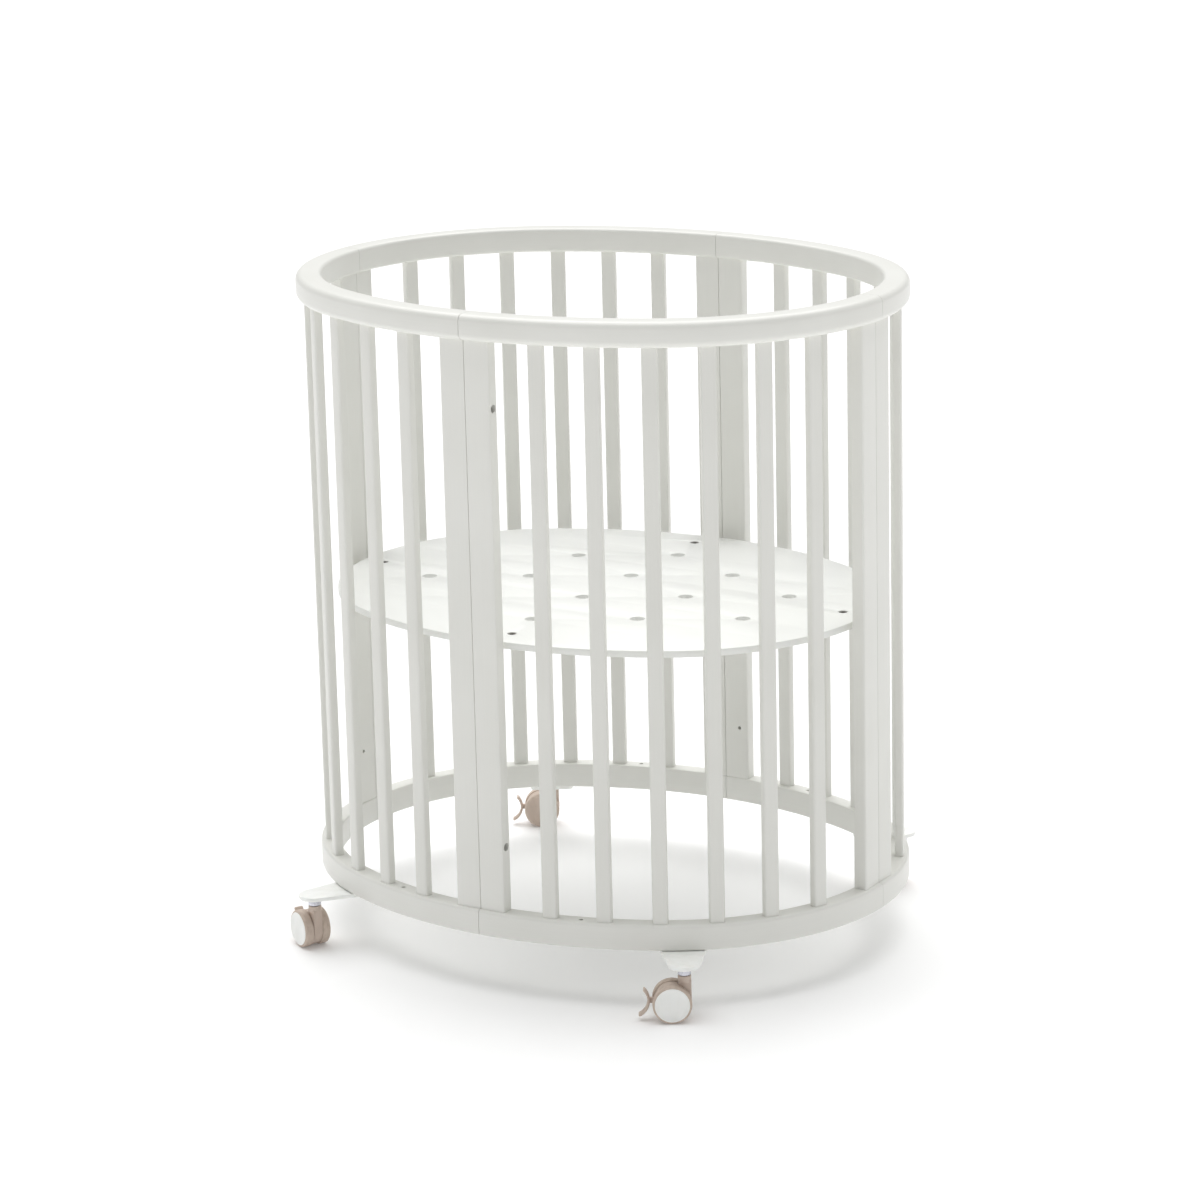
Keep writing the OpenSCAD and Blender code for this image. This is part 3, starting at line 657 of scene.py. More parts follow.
class SettingTree:
    """Geometry nodes that set a piece on every point, turned as the point's own turn says."""

    def __init__(self, name: str, sizes: tuple[str, ...] = ()) -> None:
        """Starts the tree with its named inputs.

        Args:
            name: the tree's name.
            sizes: the names of its length inputs.
        """
        self.tree = bpy.data.node_groups.new(name, "GeometryNodeTree")
        self.sockets: dict[str, str] = {}
        self.declare("Points", "NodeSocketGeometry")
        for size in sizes:
            self.declare(size, "NodeSocketFloat")
        self.declare("Piece", "NodeSocketObject")
        self.declare("Seed", "NodeSocketInt")
        self.declare("Material", "NodeSocketMaterial")
        self.tree.interface.new_socket("Result", in_out="OUTPUT", socket_type="NodeSocketGeometry")
        self.given = self.tree.nodes.new("NodeGroupInput")

    def declare(self, name: str, kind: str) -> None:
        """Adds a named input and keeps its identifier."""
        socket = self.tree.interface.new_socket(name, in_out="INPUT", socket_type=kind)
        self.sockets[name] = socket.identifier

    def piece(self) -> bpy.types.NodeSocket:
        """Gives the geometry that is set on each point: here the object that was passed in."""
        info = add_node(self.tree, "GeometryNodeObjectInfo", {"Object": self.given.outputs["Piece"]})
        return info.outputs["Geometry"]

    def finish(self) -> None:
        """Adds the setting, the random plank value, the realising and the material."""
        tree = self.tree
        points = add_node(tree, "GeometryNodeMeshToPoints", {"Mesh": self.given.outputs["Points"]})
        turn = add_node(tree, "GeometryNodeInputNamedAttribute", {"Name": "turn"}, data_type="FLOAT_VECTOR")
        facing = add_node(tree, "FunctionNodeEulerToRotation", {0: turn.outputs[0]})
        copies = add_node(tree, "GeometryNodeInstanceOnPoints", {
            "Points": points.outputs[0], "Instance": self.piece(), "Rotation": facing.outputs[0]})
        chance = add_node(tree, "FunctionNodeRandomValue", {"Seed": self.given.outputs["Seed"]},
                          data_type="FLOAT")
        tagged = add_node(tree, "GeometryNodeStoreNamedAttribute",
                          {"Geometry": copies.outputs[0], "Name": "plank"},
                          data_type="FLOAT", domain="INSTANCE")
        tree.links.new(chance.outputs[1], tagged.inputs["Value"])
        solid = add_node(tree, "GeometryNodeRealizeInstances", {"Geometry": tagged.outputs[0]})
        faced = add_node(tree, "GeometryNodeSetMaterial",
                         {"Geometry": solid.outputs[0], "Material": self.given.outputs["Material"]})
        add_node(tree, "NodeGroupOutput", {0: faced.outputs[0]})

    def run(self, places: list[tuple[Vector, Vector]], finish: Finish,
            **values: object) -> bpy.types.Mesh:
        """Sets the piece on every place.

        Args:
            places: each place, and its turn as Euler angles.
            finish: the surface of the result.
            **values: the other inputs, with "_" for a space in a name.

        Returns:
            One plain mesh with every copy in it.
        """
        points = bpy.data.meshes.new("places")
        points.from_pydata([place for place, _ in places], [], [])
        turns = points.attributes.new("turn", "FLOAT_VECTOR", "POINT")
        for i, (_, turn) in enumerate(places):
            turns.data[i].vector = turn
        holder = scratch(points)
        step = holder.modifiers.new("set", "NODES")
        step.node_group = self.tree
        step[self.sockets["Material"]] = finish.material()
        for name, value in values.items():
            step[self.sockets[name.replace("_", " ")]] = value
        return evaluated(holder)


class SlatTree(SettingTree):
    """The setting tree with its own piece: an upright slat with rounded edges."""

    def piece(self) -> bpy.types.NodeSocket:
        """Gives the slat, made from its sizes and standing on its point.

        Returns:
            The slat's geometry.
        """
        tree, given = self.tree, self.given.outputs
        outline = add_node(tree, "GeometryNodeCurvePrimitiveQuadrilateral",
                           {"Width": given["Slat Thickness"], "Height": given["Slat Width"]})
        rounded = add_node(tree, "GeometryNodeFilletCurve",
                           {"Curve": outline.outputs[0], "Radius": given["Edge Radius"]}, mode="POLY")
        rounded.inputs["Count"].default_value = 5
        top = add_node(tree, "ShaderNodeCombineXYZ", {"Z": given["Slat Length"]})
        line = add_node(tree, "GeometryNodeCurvePrimitiveLine", {"End": top.outputs[0]})
        upright = add_node(tree, "GeometryNodeSetCurveNormal", {"Curve": line.outputs[0]}, mode="Z_UP")
        swept = add_node(tree, "GeometryNodeCurveToMesh", {
            "Curve": upright.outputs[0], "Profile Curve": rounded.outputs[0], "Fill Caps": True})
        return swept.outputs[0]


# ---- The wall ----


@dataclass
class Oval:
    """The wall's four-arc outline, as seen from above."""

    half_length: float
    half_width: float
    end_tuck: float = 25 * MM
    end_radius: float = field(init=False)
    end_middle: float = field(init=False)
    side_radius: float = field(init=False)
    side_drop: float = field(init=False)
    join: float = field(init=False)

    def __post_init__(self) -> None:
        """Works the arcs out so that they meet smoothly."""
        self.end_radius = self.half_width - self.end_tuck
        self.end_middle = self.half_length - self.end_radius
        squares = self.half_width ** 2 + self.end_middle ** 2 - self.end_radius ** 2
        self.side_radius = squares / (2 * self.end_tuck)
        self.side_drop = self.side_radius - self.half_width
        self.join = math.atan2(self.side_drop, self.end_middle)

    def point(self, angle: float, inset: float) -> Vector:
        """Gives the first-quadrant point that faces an angle, set in from the outline.

        Args:
            angle: the outward angle, from the long axis.
            inset: the distance in from the outline.

        Returns:
            The point, at height 0.
        """
        if angle < self.join:
            reach = self.end_radius - inset
            return Vector((self.end_middle + reach * math.cos(angle), reach * math.sin(angle), 0))
        reach = self.side_radius - inset
        return Vector((reach * math.cos(angle), reach * math.sin(angle) - self.side_drop, 0))

    def side_arc(self, inset: float) -> float:
        """Gives the length of the long side's arc in one quadrant."""
        return (self.side_radius - inset) * (math.pi / 2 - self.join)

    def wall(self, inset: float) -> float:
        """Gives the whole wall's length in one quadrant."""
        return self.side_arc(inset) + (self.end_radius - inset) * self.join

    def angle(self, distance: float, inset: float) -> float:
        """Gives the outward angle at a distance along the wall from the short axis.

        Args:
            distance: how far along the wall.
            inset: the distance in from the outline.

        Returns:
            The angle, from the long axis.
        """
        if distance < self.side_arc(inset):
            return math.pi / 2 - distance / (self.side_radius - inset)
        return self.join - (distance - self.side_arc(inset)) / (self.end_radius - inset)


@dataclass(frozen=True)
class Seam:
    """Where two panels meet: along runs into the post with the bolt heads, inward to the middle."""

    origin: Vector
    along: Vector
    inward: Vector

    def matrix(self) -> Matrix:
        """Gives the move from the seam's own frame: X along, Y inward, Z up."""
        turn = Matrix((self.along, self.inward, Vector((0, 0, 1)))).transposed().to_4x4()
        return Matrix.Translation(self.origin) @ turn

    def at(self, along: float, inward: float, height: float) -> Vector:
        """Gives a point from its distances in the seam's frame."""
        return self.matrix() @ Vector((along, inward, height))


def facing(direction: Vector) -> Vector:
    """Gives the Euler turn that brings +Z to a direction."""
    return Vector(direction.to_track_quat("Z", "Y").to_euler())


@dataclass
class Hardware:
    """Sizes of the bolts, inserts and screws, and of the holes that take them."""

    bolt: float = 3 * MM
    bolt_hole: float = 3.3 * MM
    head: float = 5 * MM
    head_hole: float = 5.3 * MM
    head_height: float = 6 * MM
    counterbore: float = 12 * MM
    hex_across: float = 5 * MM
    insert: float = 5 * MM
    insert_hole: float = 5.05 * MM
    insert_length: float = 15 * MM
    insert_sink: float = 1 * MM
    insert_gap: float = 2 * MM
    low_hole: float = 2.5 * MM
    low_hole_height: float = 183 * MM
    low_hole_depth: float = 14 * MM

    def socket_screw(self, head: float, head_height: float, length: float) -> bpy.types.Mesh:
        """Makes a socket-head bolt standing on its head's underside, with +Z out of the head.

        Args:
            head: the head's radius.
            head_height: the head's height.
            length: the shank's length.

        Returns:
            The bolt's mesh.
        """
        ease = 0.5 * MM
        profile = [(self.bolt - ease, -length), (self.bolt, ease - length), (self.bolt, 0),
                   (head - ease / 2, 0), (head, ease / 2),
                   (head, head_height - ease), (head - ease, head_height)]
        blank = lathe(profile, 40)
        corner = self.hex_across / math.sqrt(3)
        hexagon = lathe([(corner, 0), (corner, head_height)], 6)
        hexagon.transform(Matrix.Translation((0, 0, head_height / 2)))
        return combined(blank, hexagon, Boolean.CUT)

    def threaded_insert(self) -> bpy.types.Mesh:
        """Makes a ribbed threaded insert standing on its inner end, with +Z towards the seam.

        Returns:
            The insert's mesh.
        """
        ease, groove, pitch, ribs = 0.6 * MM, 0.5 * MM, 2.3 * MM, 6
        section = [(self.bolt, 0), (self.bolt, self.insert_length),
                   (self.insert - ease, self.insert_length)]
        for i in range(ribs):
            top = self.insert_length - ease - i * pitch
            section += [(self.insert, top), (self.insert, top - 1.4 * MM),
                        (self.insert - groove, top - 1.6 * MM), (self.insert - groove, top - 2.1 * MM)]
        section.append((self.insert - ease, 0))
        return lathe(section, 40, loop=True)

    def cross_screw(self, shank: float, head: float, head_height: float, length: float,
                    countersunk: bool) -> bpy.types.Mesh:
        """Makes a cross-head screw with +Z out of its head.

        Args:
            shank: the shank's radius.
            head: the head's radius.
            head_height: the head's height.
            length: the shank's length under the head.
            countersunk: the head is a cone that sinks in flush; otherwise it is domed.

        Returns:
            The screw's mesh, with its origin under the head, or at its face if it is countersunk.
        """
        if countersunk:
            profile = [(0.3 * MM, -length), (shank, 3 * MM - length), (shank, -head_height),
                       (head, -0.2 * MM), (head, 0)]
        else:
            profile = [(0.3 * MM, -length), (shank, 3 * MM - length), (shank, 0), (head, 0),
                       (head, head_height * 0.4), (head * 0.8, head_height * 0.8), (head * 0.45, head_height)]
        blank = lathe(profile, 32)
        top = profile[-1][1]
        for half in ((shank, 0.5 * MM), (0.5 * MM, shank)):
            bar = loft([[Vector((x, y, top + z)) for x, y in rounded_box((-half[0], -half[1]), half,
                                                                         0.05 * MM, 0.05 * MM, 1)]
                        for z in (-1 * MM, 1 * MM)])
            blank = combined(blank, bar, Boolean.CUT)
        return blank


@dataclass
class RailSection:
    """A rail's section across the wall: its places in metres from the outline and from the floor."""

    outer: float
    width: float
    low: float
    high: float
    outer_edge: float
    inner_edge: float

    def outline(self, shrink: float) -> list[tuple[float, float]]:
        """Gives the section as distance in from the outline and height, shrunk all round."""
        return rounded_box((self.outer + shrink, self.low + shrink),
                           (self.outer + self.width - shrink, self.high - shrink),
                           self.outer_edge - shrink, self.inner_edge - shrink)


@dataclass
class QuarterPanel:
    """One quarter of the wall: two bent rails, six slats and two end posts."""

    name: str
    side: tuple[int, int]
    oval: Oval
    hardware: Hardware
    seams: tuple[Seam, Seam]
    heads: tuple[bool, bool]
    low_holes: tuple[float, float]
    seam_gap: float = 0.4 * MM
    seam_ease: float = 0.5 * MM
    slats: int = 6
    slat_width: float = 20 * MM
    slat_thickness: float = 12 * MM
    slat_edge: float = 3 * MM
    slat_inset: float = 10 * MM
    last_gap_extra: float = 18 * MM
    post_width: float = 36 * MM
    post_thickness: float = 18 * MM
    post_edge: float = 2.5 * MM
    bolt_margin: float = 86 * MM
    rail_hole: float = 3 * MM
    rail_hole_depth: float = 12 * MM
    rail_hole_side: float = 136 * MM
    stations: int = 72

    def node(self, part: str) -> str:
        """Gives the CAD node's name for one of the panel's parts."""
        return f"{self.name}_{part}"

    def in_quadrant(self, point: Vector) -> Vector:
        """Mirrors a first-quadrant point into the panel's own quadrant."""
        return Vector((self.side[0] * point.x, self.side[1] * point.y, point.z))

    def level(self, part: str) -> tuple[float, float]:
        """Gives a part's lowest and highest points."""
        low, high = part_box(self.node(part))
        return low[2], high[2]

    def bent(self, section: RailSection) -> bpy.types.Mesh:
        """Sweeps a rail's section round the quadrant, with eased ends at the seams.

        Args:
            section: the rail's section.

        Returns:
            The rail's mesh.
        """
        half_gap = self.seam_gap / 2
        quarter = math.pi / 2
        rings, along = [], []
        plan = [(0.0, self.seam_ease, 0.0), (0.0, 0.0, self.seam_ease)]
        plan += [(i / self.stations, 0.0, self.seam_ease) for i in range(1, self.stations)]
        plan += [(1.0, 0.0, self.seam_ease), (1.0, self.seam_ease, 0.0)]
        for share, shrink, back in plan:
            ring = []
            for inset, height in section.outline(shrink):
                low = math.asin((half_gap + back) / (self.oval.end_radius - inset))
                high = math.acos((half_gap + back) / (self.oval.side_radius - inset))
                angle = min(max(share * quarter, low), high)
                point = self.oval.point(angle, inset)
                ring.append(self.in_quadrant(Vector((point.x, point.y, height))))
            rings.append(ring)
            along.append(self.oval.wall(0) - self.distance(share * quarter))
        return loft(rings, along=along)

    def distance(self, angle: float) -> float:
        """Gives how far round the outline from the short axis an outward angle lies.

        Args:
            angle: the outward angle, from the long axis.

        Returns:
            The distance along the outline.
        """
        if angle >= self.oval.join:
            return (math.pi / 2 - angle) * self.oval.side_radius
        return self.oval.side_arc(0) + (self.oval.join - angle) * self.oval.end_radius

    def top_rail(self) -> None:
        """Builds the domed hand rail."""
        low, high = self.level("top_rail")
        section = RailSection(outer=0, width=34 * MM, low=low, high=high, outer_edge=9 * MM,
                              inner_edge=5 * MM)
        piece = finished(f"{self.name}_hand_rail", self.bent(section), RAIL_LACQUER)
        handed_over(piece, "frame", self.node("top_rail"))

    def bottom_rail(self) -> None:
        """Builds the lower rail, with its small blind hole in the upper face."""
        low, high = self.level("bottom_rail")
        section = RailSection(outer=4 * MM, width=25 * MM, low=low, high=high, outer_edge=4.5 * MM,
                              inner_edge=2 * MM)
        middle = section.outer + section.width / 2
        angle = math.acos(self.rail_hole_side / (self.oval.side_radius - middle))
        spot = self.in_quadrant(self.oval.point(angle, middle))
        drill = cylinder(self.rail_hole, spot + Vector((0, 0, high - self.rail_hole_depth)),
                         spot + Vector((0, 0, high + OVERSHOOT)))
        mesh = combined(self.bent(section), drill, Boolean.CUT)
        piece = finished(f"{self.name}_lower_rail", mesh, RAIL_LACQUER)
        handed_over(piece, "frame", self.node("bottom_rail"))

    def slat_places(self, height: float) -> list[tuple[Vector, Vector]]:
        """Gives each slat's foot and its turn, with equal gaps but for the last one.

        Args:
            height: the slats' lower end.

        Returns:
            Each slat's foot, and its turn as Euler angles.
        """
        middle = self.slat_inset + self.slat_thickness / 2
        free = self.oval.wall(middle) - 2 * self.post_width - self.slats * self.slat_width
        gap = (free - self.last_gap_extra) / (self.slats + 1)
        places = []
        for i in range(self.slats):
            distance = self.post_width + gap + self.slat_width / 2 + i * (gap + self.slat_width)
            angle = self.oval.angle(distance, middle)
            foot = self.in_quadrant(self.oval.point(angle, middle) + Vector((0, 0, height)))
            outward = self.in_quadrant(Vector((math.cos(angle), math.sin(angle), 0)))
            places.append((foot, Vector((0, 0, math.atan2(outward.y, outward.x)))))
        return places

    def slat_row(self, tree: SlatTree, seed: int) -> None:
        """Sets the slats between the rails.

        Args:
            tree: the geometry nodes that make and set them.
            seed: the seed of their slight changes of white.
        """
        low, high = self.level("bottom_rail")[1], self.level("top_rail")[0]
        mesh = tree.run(self.slat_places(low), SLAT_LACQUER, Slat_Width=self.slat_width,
                        Slat_Thickness=self.slat_thickness, Slat_Length=high - low,
                        Edge_Radius=self.slat_edge, Seed=seed)
        piece = finished(f"{self.name}_slat_row", mesh, SLAT_LACQUER)
        handed_over(piece, "frame", self.node("slats"))

    def post(self, seam: Seam, has_heads: bool, low_hole: float) -> bpy.types.Mesh:
        """Builds one end post in its seam's frame, drills it, and moves it to the seam.

        Args:
            seam: the seam that it stands at.
            has_heads: it takes the bolts' heads; otherwise it takes the inserts.
            low_hole: distance from the seam to the hole for the board's lower level, or 0.

        Returns:
            The post's mesh.
        """
        low, high = self.level("bottom_rail")[1], self.level("top_rail")[0]
        near, far = self.seam_gap / 2, self.post_width
        inner = self.slat_inset + self.post_thickness
        side = 1 if has_heads else -1
        outline = rounded_box((near, self.slat_inset), (far, inner), 1.2 * MM, self.post_edge)
        rings = [[Vector((side * x, y, z)) for x, y in outline] for z in (low, high)]
        mesh = loft(rings)
        middle = self.slat_inset + self.post_thickness / 2
        holes = self.hardware
        drills = []
        for height in (low + self.bolt_margin, high - self.bolt_margin):
            if has_heads:
                seat = far - holes.counterbore
                drills.append((holes.bolt_hole, (-far, middle, height), (far + near, middle, height)))
                drills.append((holes.head_hole, (seat, middle, height), (far + OVERSHOOT, middle, height)))
            else:
                depth = holes.insert_sink + holes.insert_length + holes.insert_gap
                drills.append((holes.insert_hole, (-depth, middle, height), (OVERSHOOT, middle, height)))
        if low_hole:
            spot, height = side * low_hole, holes.low_hole_height
            drills.append((holes.low_hole, (spot, inner - holes.low_hole_depth, height),
                           (spot, inner + OVERSHOOT, height)))
        for radius, start, end in drills:
            mesh = combined(mesh, cylinder(radius, Vector(start), Vector(end)), Boolean.CUT)
        return placed(mesh, seam.matrix())

    def posts(self) -> None:
        """Builds both end posts as one piece of the panel."""
        meshes = [self.post(*place) for place in zip(self.seams, self.heads, self.low_holes)]
        piece = finished(f"{self.name}_end_posts", joined(meshes), SLAT_LACQUER)
        handed_over(piece, "frame", self.node("posts"))

    def build(self, tree: SlatTree, seed: int) -> None:
        """Builds the whole panel.

        Args:
            tree: the geometry nodes that make and set the slats.
            seed: the seed of the slats' changes of white.
        """
        self.top_rail()
        self.bottom_rail()
        self.slat_row(tree, seed)
        self.posts()


@dataclass
class SeamHardware:
    """The bolts and threaded inserts that pull the panels together."""

    seams: dict[str, Seam]
    hardware: Hardware
    heights: tuple[float, float]
    post_width: float = 36 * MM
    post_middle: float = 19 * MM

    def build(self, tree: SettingTree) -> None:
        """Sets the bolts and the inserts at every seam.

        Args:
            tree: the geometry nodes that set them.
        """
        sizes = self.hardware
        seat = self.post_width - sizes.counterbore
        depth = sizes.insert_sink + sizes.insert_length
        bolts, inserts = [], []
        for seam in self.seams.values():
            for height in self.heights:
                bolts.append((seam.at(seat, self.post_middle, height), facing(seam.along)))
                inserts.append((seam.at(-depth, self.post_middle, height), facing(seam.along)))
        for name, node, places, mesh, finish in (
                ("seam_bolt_set", "panel_bolts", bolts,
                 sizes.socket_screw(sizes.head, sizes.head_height, seat + depth), DARK_OXIDE),
                ("seam_insert_set", "seam_inserts", inserts, sizes.threaded_insert(), BRIGHT_ZINC)):
            piece = scratch(mesh)
            whole = tree.run(places, finish, Piece=piece, Seed=1)
            bpy.data.objects.remove(piece)
            handed_over(finished(name, whole, finish), "frame", node)


# ---- The mattress board ----


class PerforationTree(SettingTree):
    """Geometry nodes that drill a round hole through a board at every point."""

    def finish(self) -> None:
        """Adds the drills, the cut and the material."""
        tree, given = self.tree, self.given.outputs
        drill = add_node(tree, "GeometryNodeMeshCylinder",
                         {"Vertices": 40, "Radius": given["Hole Radius"], "Depth": given["Drill Length"]})
        points = add_node(tree, "GeometryNodeMeshToPoints", {"Mesh": given["Points"]})
        drills = add_node(tree, "GeometryNodeInstanceOnPoints",
                          {"Points": points.outputs[0], "Instance": drill.outputs[0]})
        solid = add_node(tree, "GeometryNodeRealizeInstances", {"Geometry": drills.outputs[0]})
        cut = add_node(tree, "GeometryNodeMeshBoolean",
                       {0: self.piece(), 1: solid.outputs[0]}, operation="DIFFERENCE")
        faced = add_node(tree, "GeometryNodeSetMaterial", {"Geometry": cut.outputs[0],
                                                           "Material": given["Material"]})
        add_node(tree, "NodeGroupOutput", {0: faced.outputs[0]})


@dataclass
class MattressBoard:
    """The perforated board, its brackets and their bolts and screws."""

    oval: Oval
    seams: dict[str, Seam]
    hardware: Hardware
    inset: float = 40 * MM
    edge: float = 0.8 * MM
    vent: float = 10 * MM
    vent_pitch_x: float = 121 * MM
    vent_pitch_y: float = 123 * MM
    vent_columns: int = 5
    vent_rows: int = 4
    end_shift: float = 14.5 * MM
    side_shift: float = 26 * MM
    end_reach: float = 79.5 * MM
    side_reach: float = 74 * MM
    head: float = 6 * MM
    head_height: float = 3.5 * MM
    head_sink: float = 1 * MM
    bracket_width: float = 13 * MM
    bracket_thickness: float = 3 * MM
    bracket_arm: float = 62 * MM
    bracket_flange: float = 17 * MM
    bend: float = 2.5 * MM
    post_inner: float = 28 * MM

    def levels(self) -> tuple[float, float]:
        """Gives the heights of the board's two faces."""
        low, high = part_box("mattress_board")
        return low[2], high[2]

    def brackets_at(self) -> list[tuple[Seam, float, float]]:
        """Gives each bracket's seam, its distance from the seam, and its bolt's reach.

        Returns:
            One row for each bracket.
        """
        ends = [(self.seams[name], self.end_shift, self.end_reach) for name in ("front", "back")]
        sides = [(self.seams[name], shift, self.side_reach)
                 for name, shift in (("right", self.side_shift), ("left", -self.side_shift))]
        return ends + sides

    def outline(self, shrink: float, height: float) -> list[Vector]:
        """Gives the board's rim at a height, shrunk all round.

        Args:
            shrink: how far in from the board's edge.
            height: the rim's height.

        Returns:
            The rim's points, counter-clockwise.
        """
        steps = 60
        quarter = [self.oval.point(math.pi / 2 * i / steps, self.inset + shrink) for i in range(steps + 1)]
        right = quarter + [Vector((-p.x, p.y, 0)) for p in reversed(quarter[:-1])]
        rim = right + [Vector((p.x, -p.y, 0)) for p in reversed(right[1:-1])]
        return [Vector((p.x, p.y, height)) for p in rim]

    def vents(self) -> list[Vector]:
        """Gives the vents' centres: columns along X, each with one row fewer than the one inside it.

        Returns:
            The centres, at height 0.
        """
        centres = []
        for column in range(self.vent_columns):
            step = column - (self.vent_columns - 1) / 2
            rows = self.vent_rows - int(abs(step))
            for row in range(rows):
                across = (row - (rows - 1) / 2) * self.vent_pitch_y
                centres.append(Vector((step * self.vent_pitch_x, across, 0)))
        return centres

    def board(self, tree: PerforationTree) -> None:
        """Builds the board with eased rims, its vents, and the bolts' recesses.

        Args:
            tree: the geometry nodes that drill the vents.
        """
        low, high = self.levels()
        plan = [(self.edge, low), (0.3 * self.edge, low + 0.3 * self.edge), (0.0, low + self.edge),
                (0.0, high - self.edge), (0.3 * self.edge, high - 0.3 * self.edge), (self.edge, high)]
        blank = scratch(loft([self.outline(shrink, height) for shrink, height in plan]))
        middle = Vector((0, 0, (low + high) / 2))
        places = [(centre + middle, Vector((0, 0, 0))) for centre in self.vents()]
        mesh = tree.run(places, BOARD_MELAMINE, Piece=blank, Hole_Radius=self.vent,
                        Drill_Length=4 * (high - low))
        bpy.data.objects.remove(blank)
        seat = high - self.head_height - self.head_sink
        for seam, shift, reach in self.brackets_at():
            for radius, start in ((self.head + 0.3 * MM, seat), (self.hardware.bolt_hole, low - 1 * MM)):
                end = seam.at(shift, reach, high + OVERSHOOT)
                drill = cylinder(radius, seam.at(shift, reach, start), end)
                mesh = combined(mesh, drill, Boolean.CUT)
        piece = finished("perforated_board", eased(mesh, 0.5 * MM), BOARD_MELAMINE)
        handed_over(piece, "frame", "mattress_board")

    def bracket(self, seam: Seam, shift: float) -> bpy.types.Mesh:
        """Bends one angle bracket: a flange down the post, and a round-ended arm under the board.

        Args:
            seam: the seam whose post it is on.
            shift: its distance from the seam.

        Returns:
            The bracket's mesh.
        """
        top = self.levels()[0]
        half = self.bracket_thickness / 2
        radius = self.bend
        start = self.post_inner + half
        level = top - half
        path = [((start, top - self.bracket_flange), 0.0), ((start, level - radius), 0.0)]
        steps = 6
        for i in range(1, steps + 1):
            turn = math.pi / 2 * i / steps
            place = (start + radius * (1 - math.cos(turn)), level - radius + radius * math.sin(turn))
            path.append((place, turn))
        end = self.post_inner + self.bracket_arm
        wide = self.bracket_width / 2
        path.append(((end - wide, level), math.pi / 2))
        for i in range(1, 9):
            path.append(((end - wide + wide * math.sin(math.pi / 2 * i / 9), level), math.pi / 2))
        rings = []
        for (inward, height), turn in path:
            past = max(0.0, inward - (end - wide))
            reach = math.sqrt(max(wide ** 2 - past ** 2, (0.4 * MM) ** 2))
            ring = []
            for x, t in rounded_box((-reach, -half), (reach, half), 0.3 * MM, 0.3 * MM, 2):
                ring.append(Vector((shift + x, inward - t * math.cos(turn), height + t * math.sin(turn))))
            rings.append(ring)
        return placed(loft(rings), seam.matrix())

    def brackets(self) -> None:
        """Builds the four brackets as one piece."""
        meshes = [self.bracket(seam, shift) for seam, shift, _ in self.brackets_at()]
        piece = finished("angle_brackets", joined(meshes), CREAM_POWDER)
        handed_over(piece, "frame", "board_brackets")

    def fasteners(self, tree: SettingTree) -> None:
        """Sets the board's bolts and the brackets' screws.

        Args:
            tree: the geometry nodes that set them.
        """
        low, high = self.levels()
        seat = high - self.head_height - self.head_sink
        drop = self.bracket_thickness + (self.bracket_flange - self.bracket_thickness) / 2 + 1 * MM
        bolts, screws = [], []
        for seam, shift, reach in self.brackets_at():
            bolts.append((seam.at(shift, reach, seat), Vector((0, 0, 0))))
            face = self.post_inner + self.bracket_thickness
            screws.append((seam.at(shift, face, low - drop), facing(seam.inward)))
        sets = (("board_bolt_set", "board_bolts", bolts,
                 self.hardware.socket_screw(self.head, self.head_height, 10 * MM), DARK_OXIDE),
                ("bracket_screw_set", "bracket_screws", screws,
                 self.hardware.cross_screw(shank=1.75 * MM, head=3.5 * MM, head_height=2 * MM,
                                           length=17 * MM, countersunk=False), BRIGHT_ZINC))
        for name, node, places, mesh, finish in sets:
            piece = scratch(mesh)
            whole = tree.run(places, finish, Piece=piece, Seed=2)
            bpy.data.objects.remove(piece)
            handed_over(finished(name, whole, finish), "frame", node)


# ---- Casters ----


@dataclass
class CasterPlate:
    """The teardrop plate that carries a caster outside the wall."""

    tip: float = 20.5 * MM
    half_width: float = 30 * MM
    corner: float = 6 * MM
    length: float = 61 * MM
    edge: float = 1 * MM
    screw_place: float = 51.5 * MM
    screw_side: float = 17 * MM

    def outline(self, shrink: float) -> list[tuple[float, float]]:
        """Gives the plate's rim with the swivel axis at the middle and +X inward, shrunk all round.

        Args:
            shrink: how far in from the plate's edge.

        Returns:
            The rim's points, counter-clockwise.
        """
        place = (self.length - self.corner, self.half_width - self.corner)
        gap = math.hypot(*place)
        touch = math.degrees(math.atan2(place[1], place[0]) + math.acos((self.tip - self.corner) / gap))
        small = self.corner - shrink
        return (arc((place[0], -place[1]), small, -touch, 0, 10) + arc(place, small, 0, touch, 10)
                + arc((0, 0), self.tip - shrink, touch, 360 - touch, 28))

    def mesh(self, low: float, high: float) -> bpy.types.Mesh:
        """Makes the plate between two heights, with rounded rims.

        Args:
            low: its lower face.
            high: its upper face.

        Returns:
            The plate's mesh, round the swivel axis.
        """
        rings = []
        for turn in (0, 30, 60, 90):
            shrink = self.edge * (1 - math.sin(math.radians(turn)))
            rings.append((shrink, low + self.edge * (1 - math.cos(math.radians(turn)))))
        rings += [(shrink, low + high - height) for shrink, height in reversed(rings)]
        mesh = loft([[Vector((x, y, height)) for x, y in self.outline(shrink)] for shrink, height in rings])
        for side in (-1, 1):
            sink = lathe([(4 * MM, -1 * MM), (4 * MM, 0), (2 * MM, 2 * MM), (2 * MM, 8 * MM)], 32)
            sink.transform(Matrix.Translation((self.screw_place, side * self.screw_side, low)))
            mesh = combined(mesh, sink, Boolean.CUT)
        return mesh


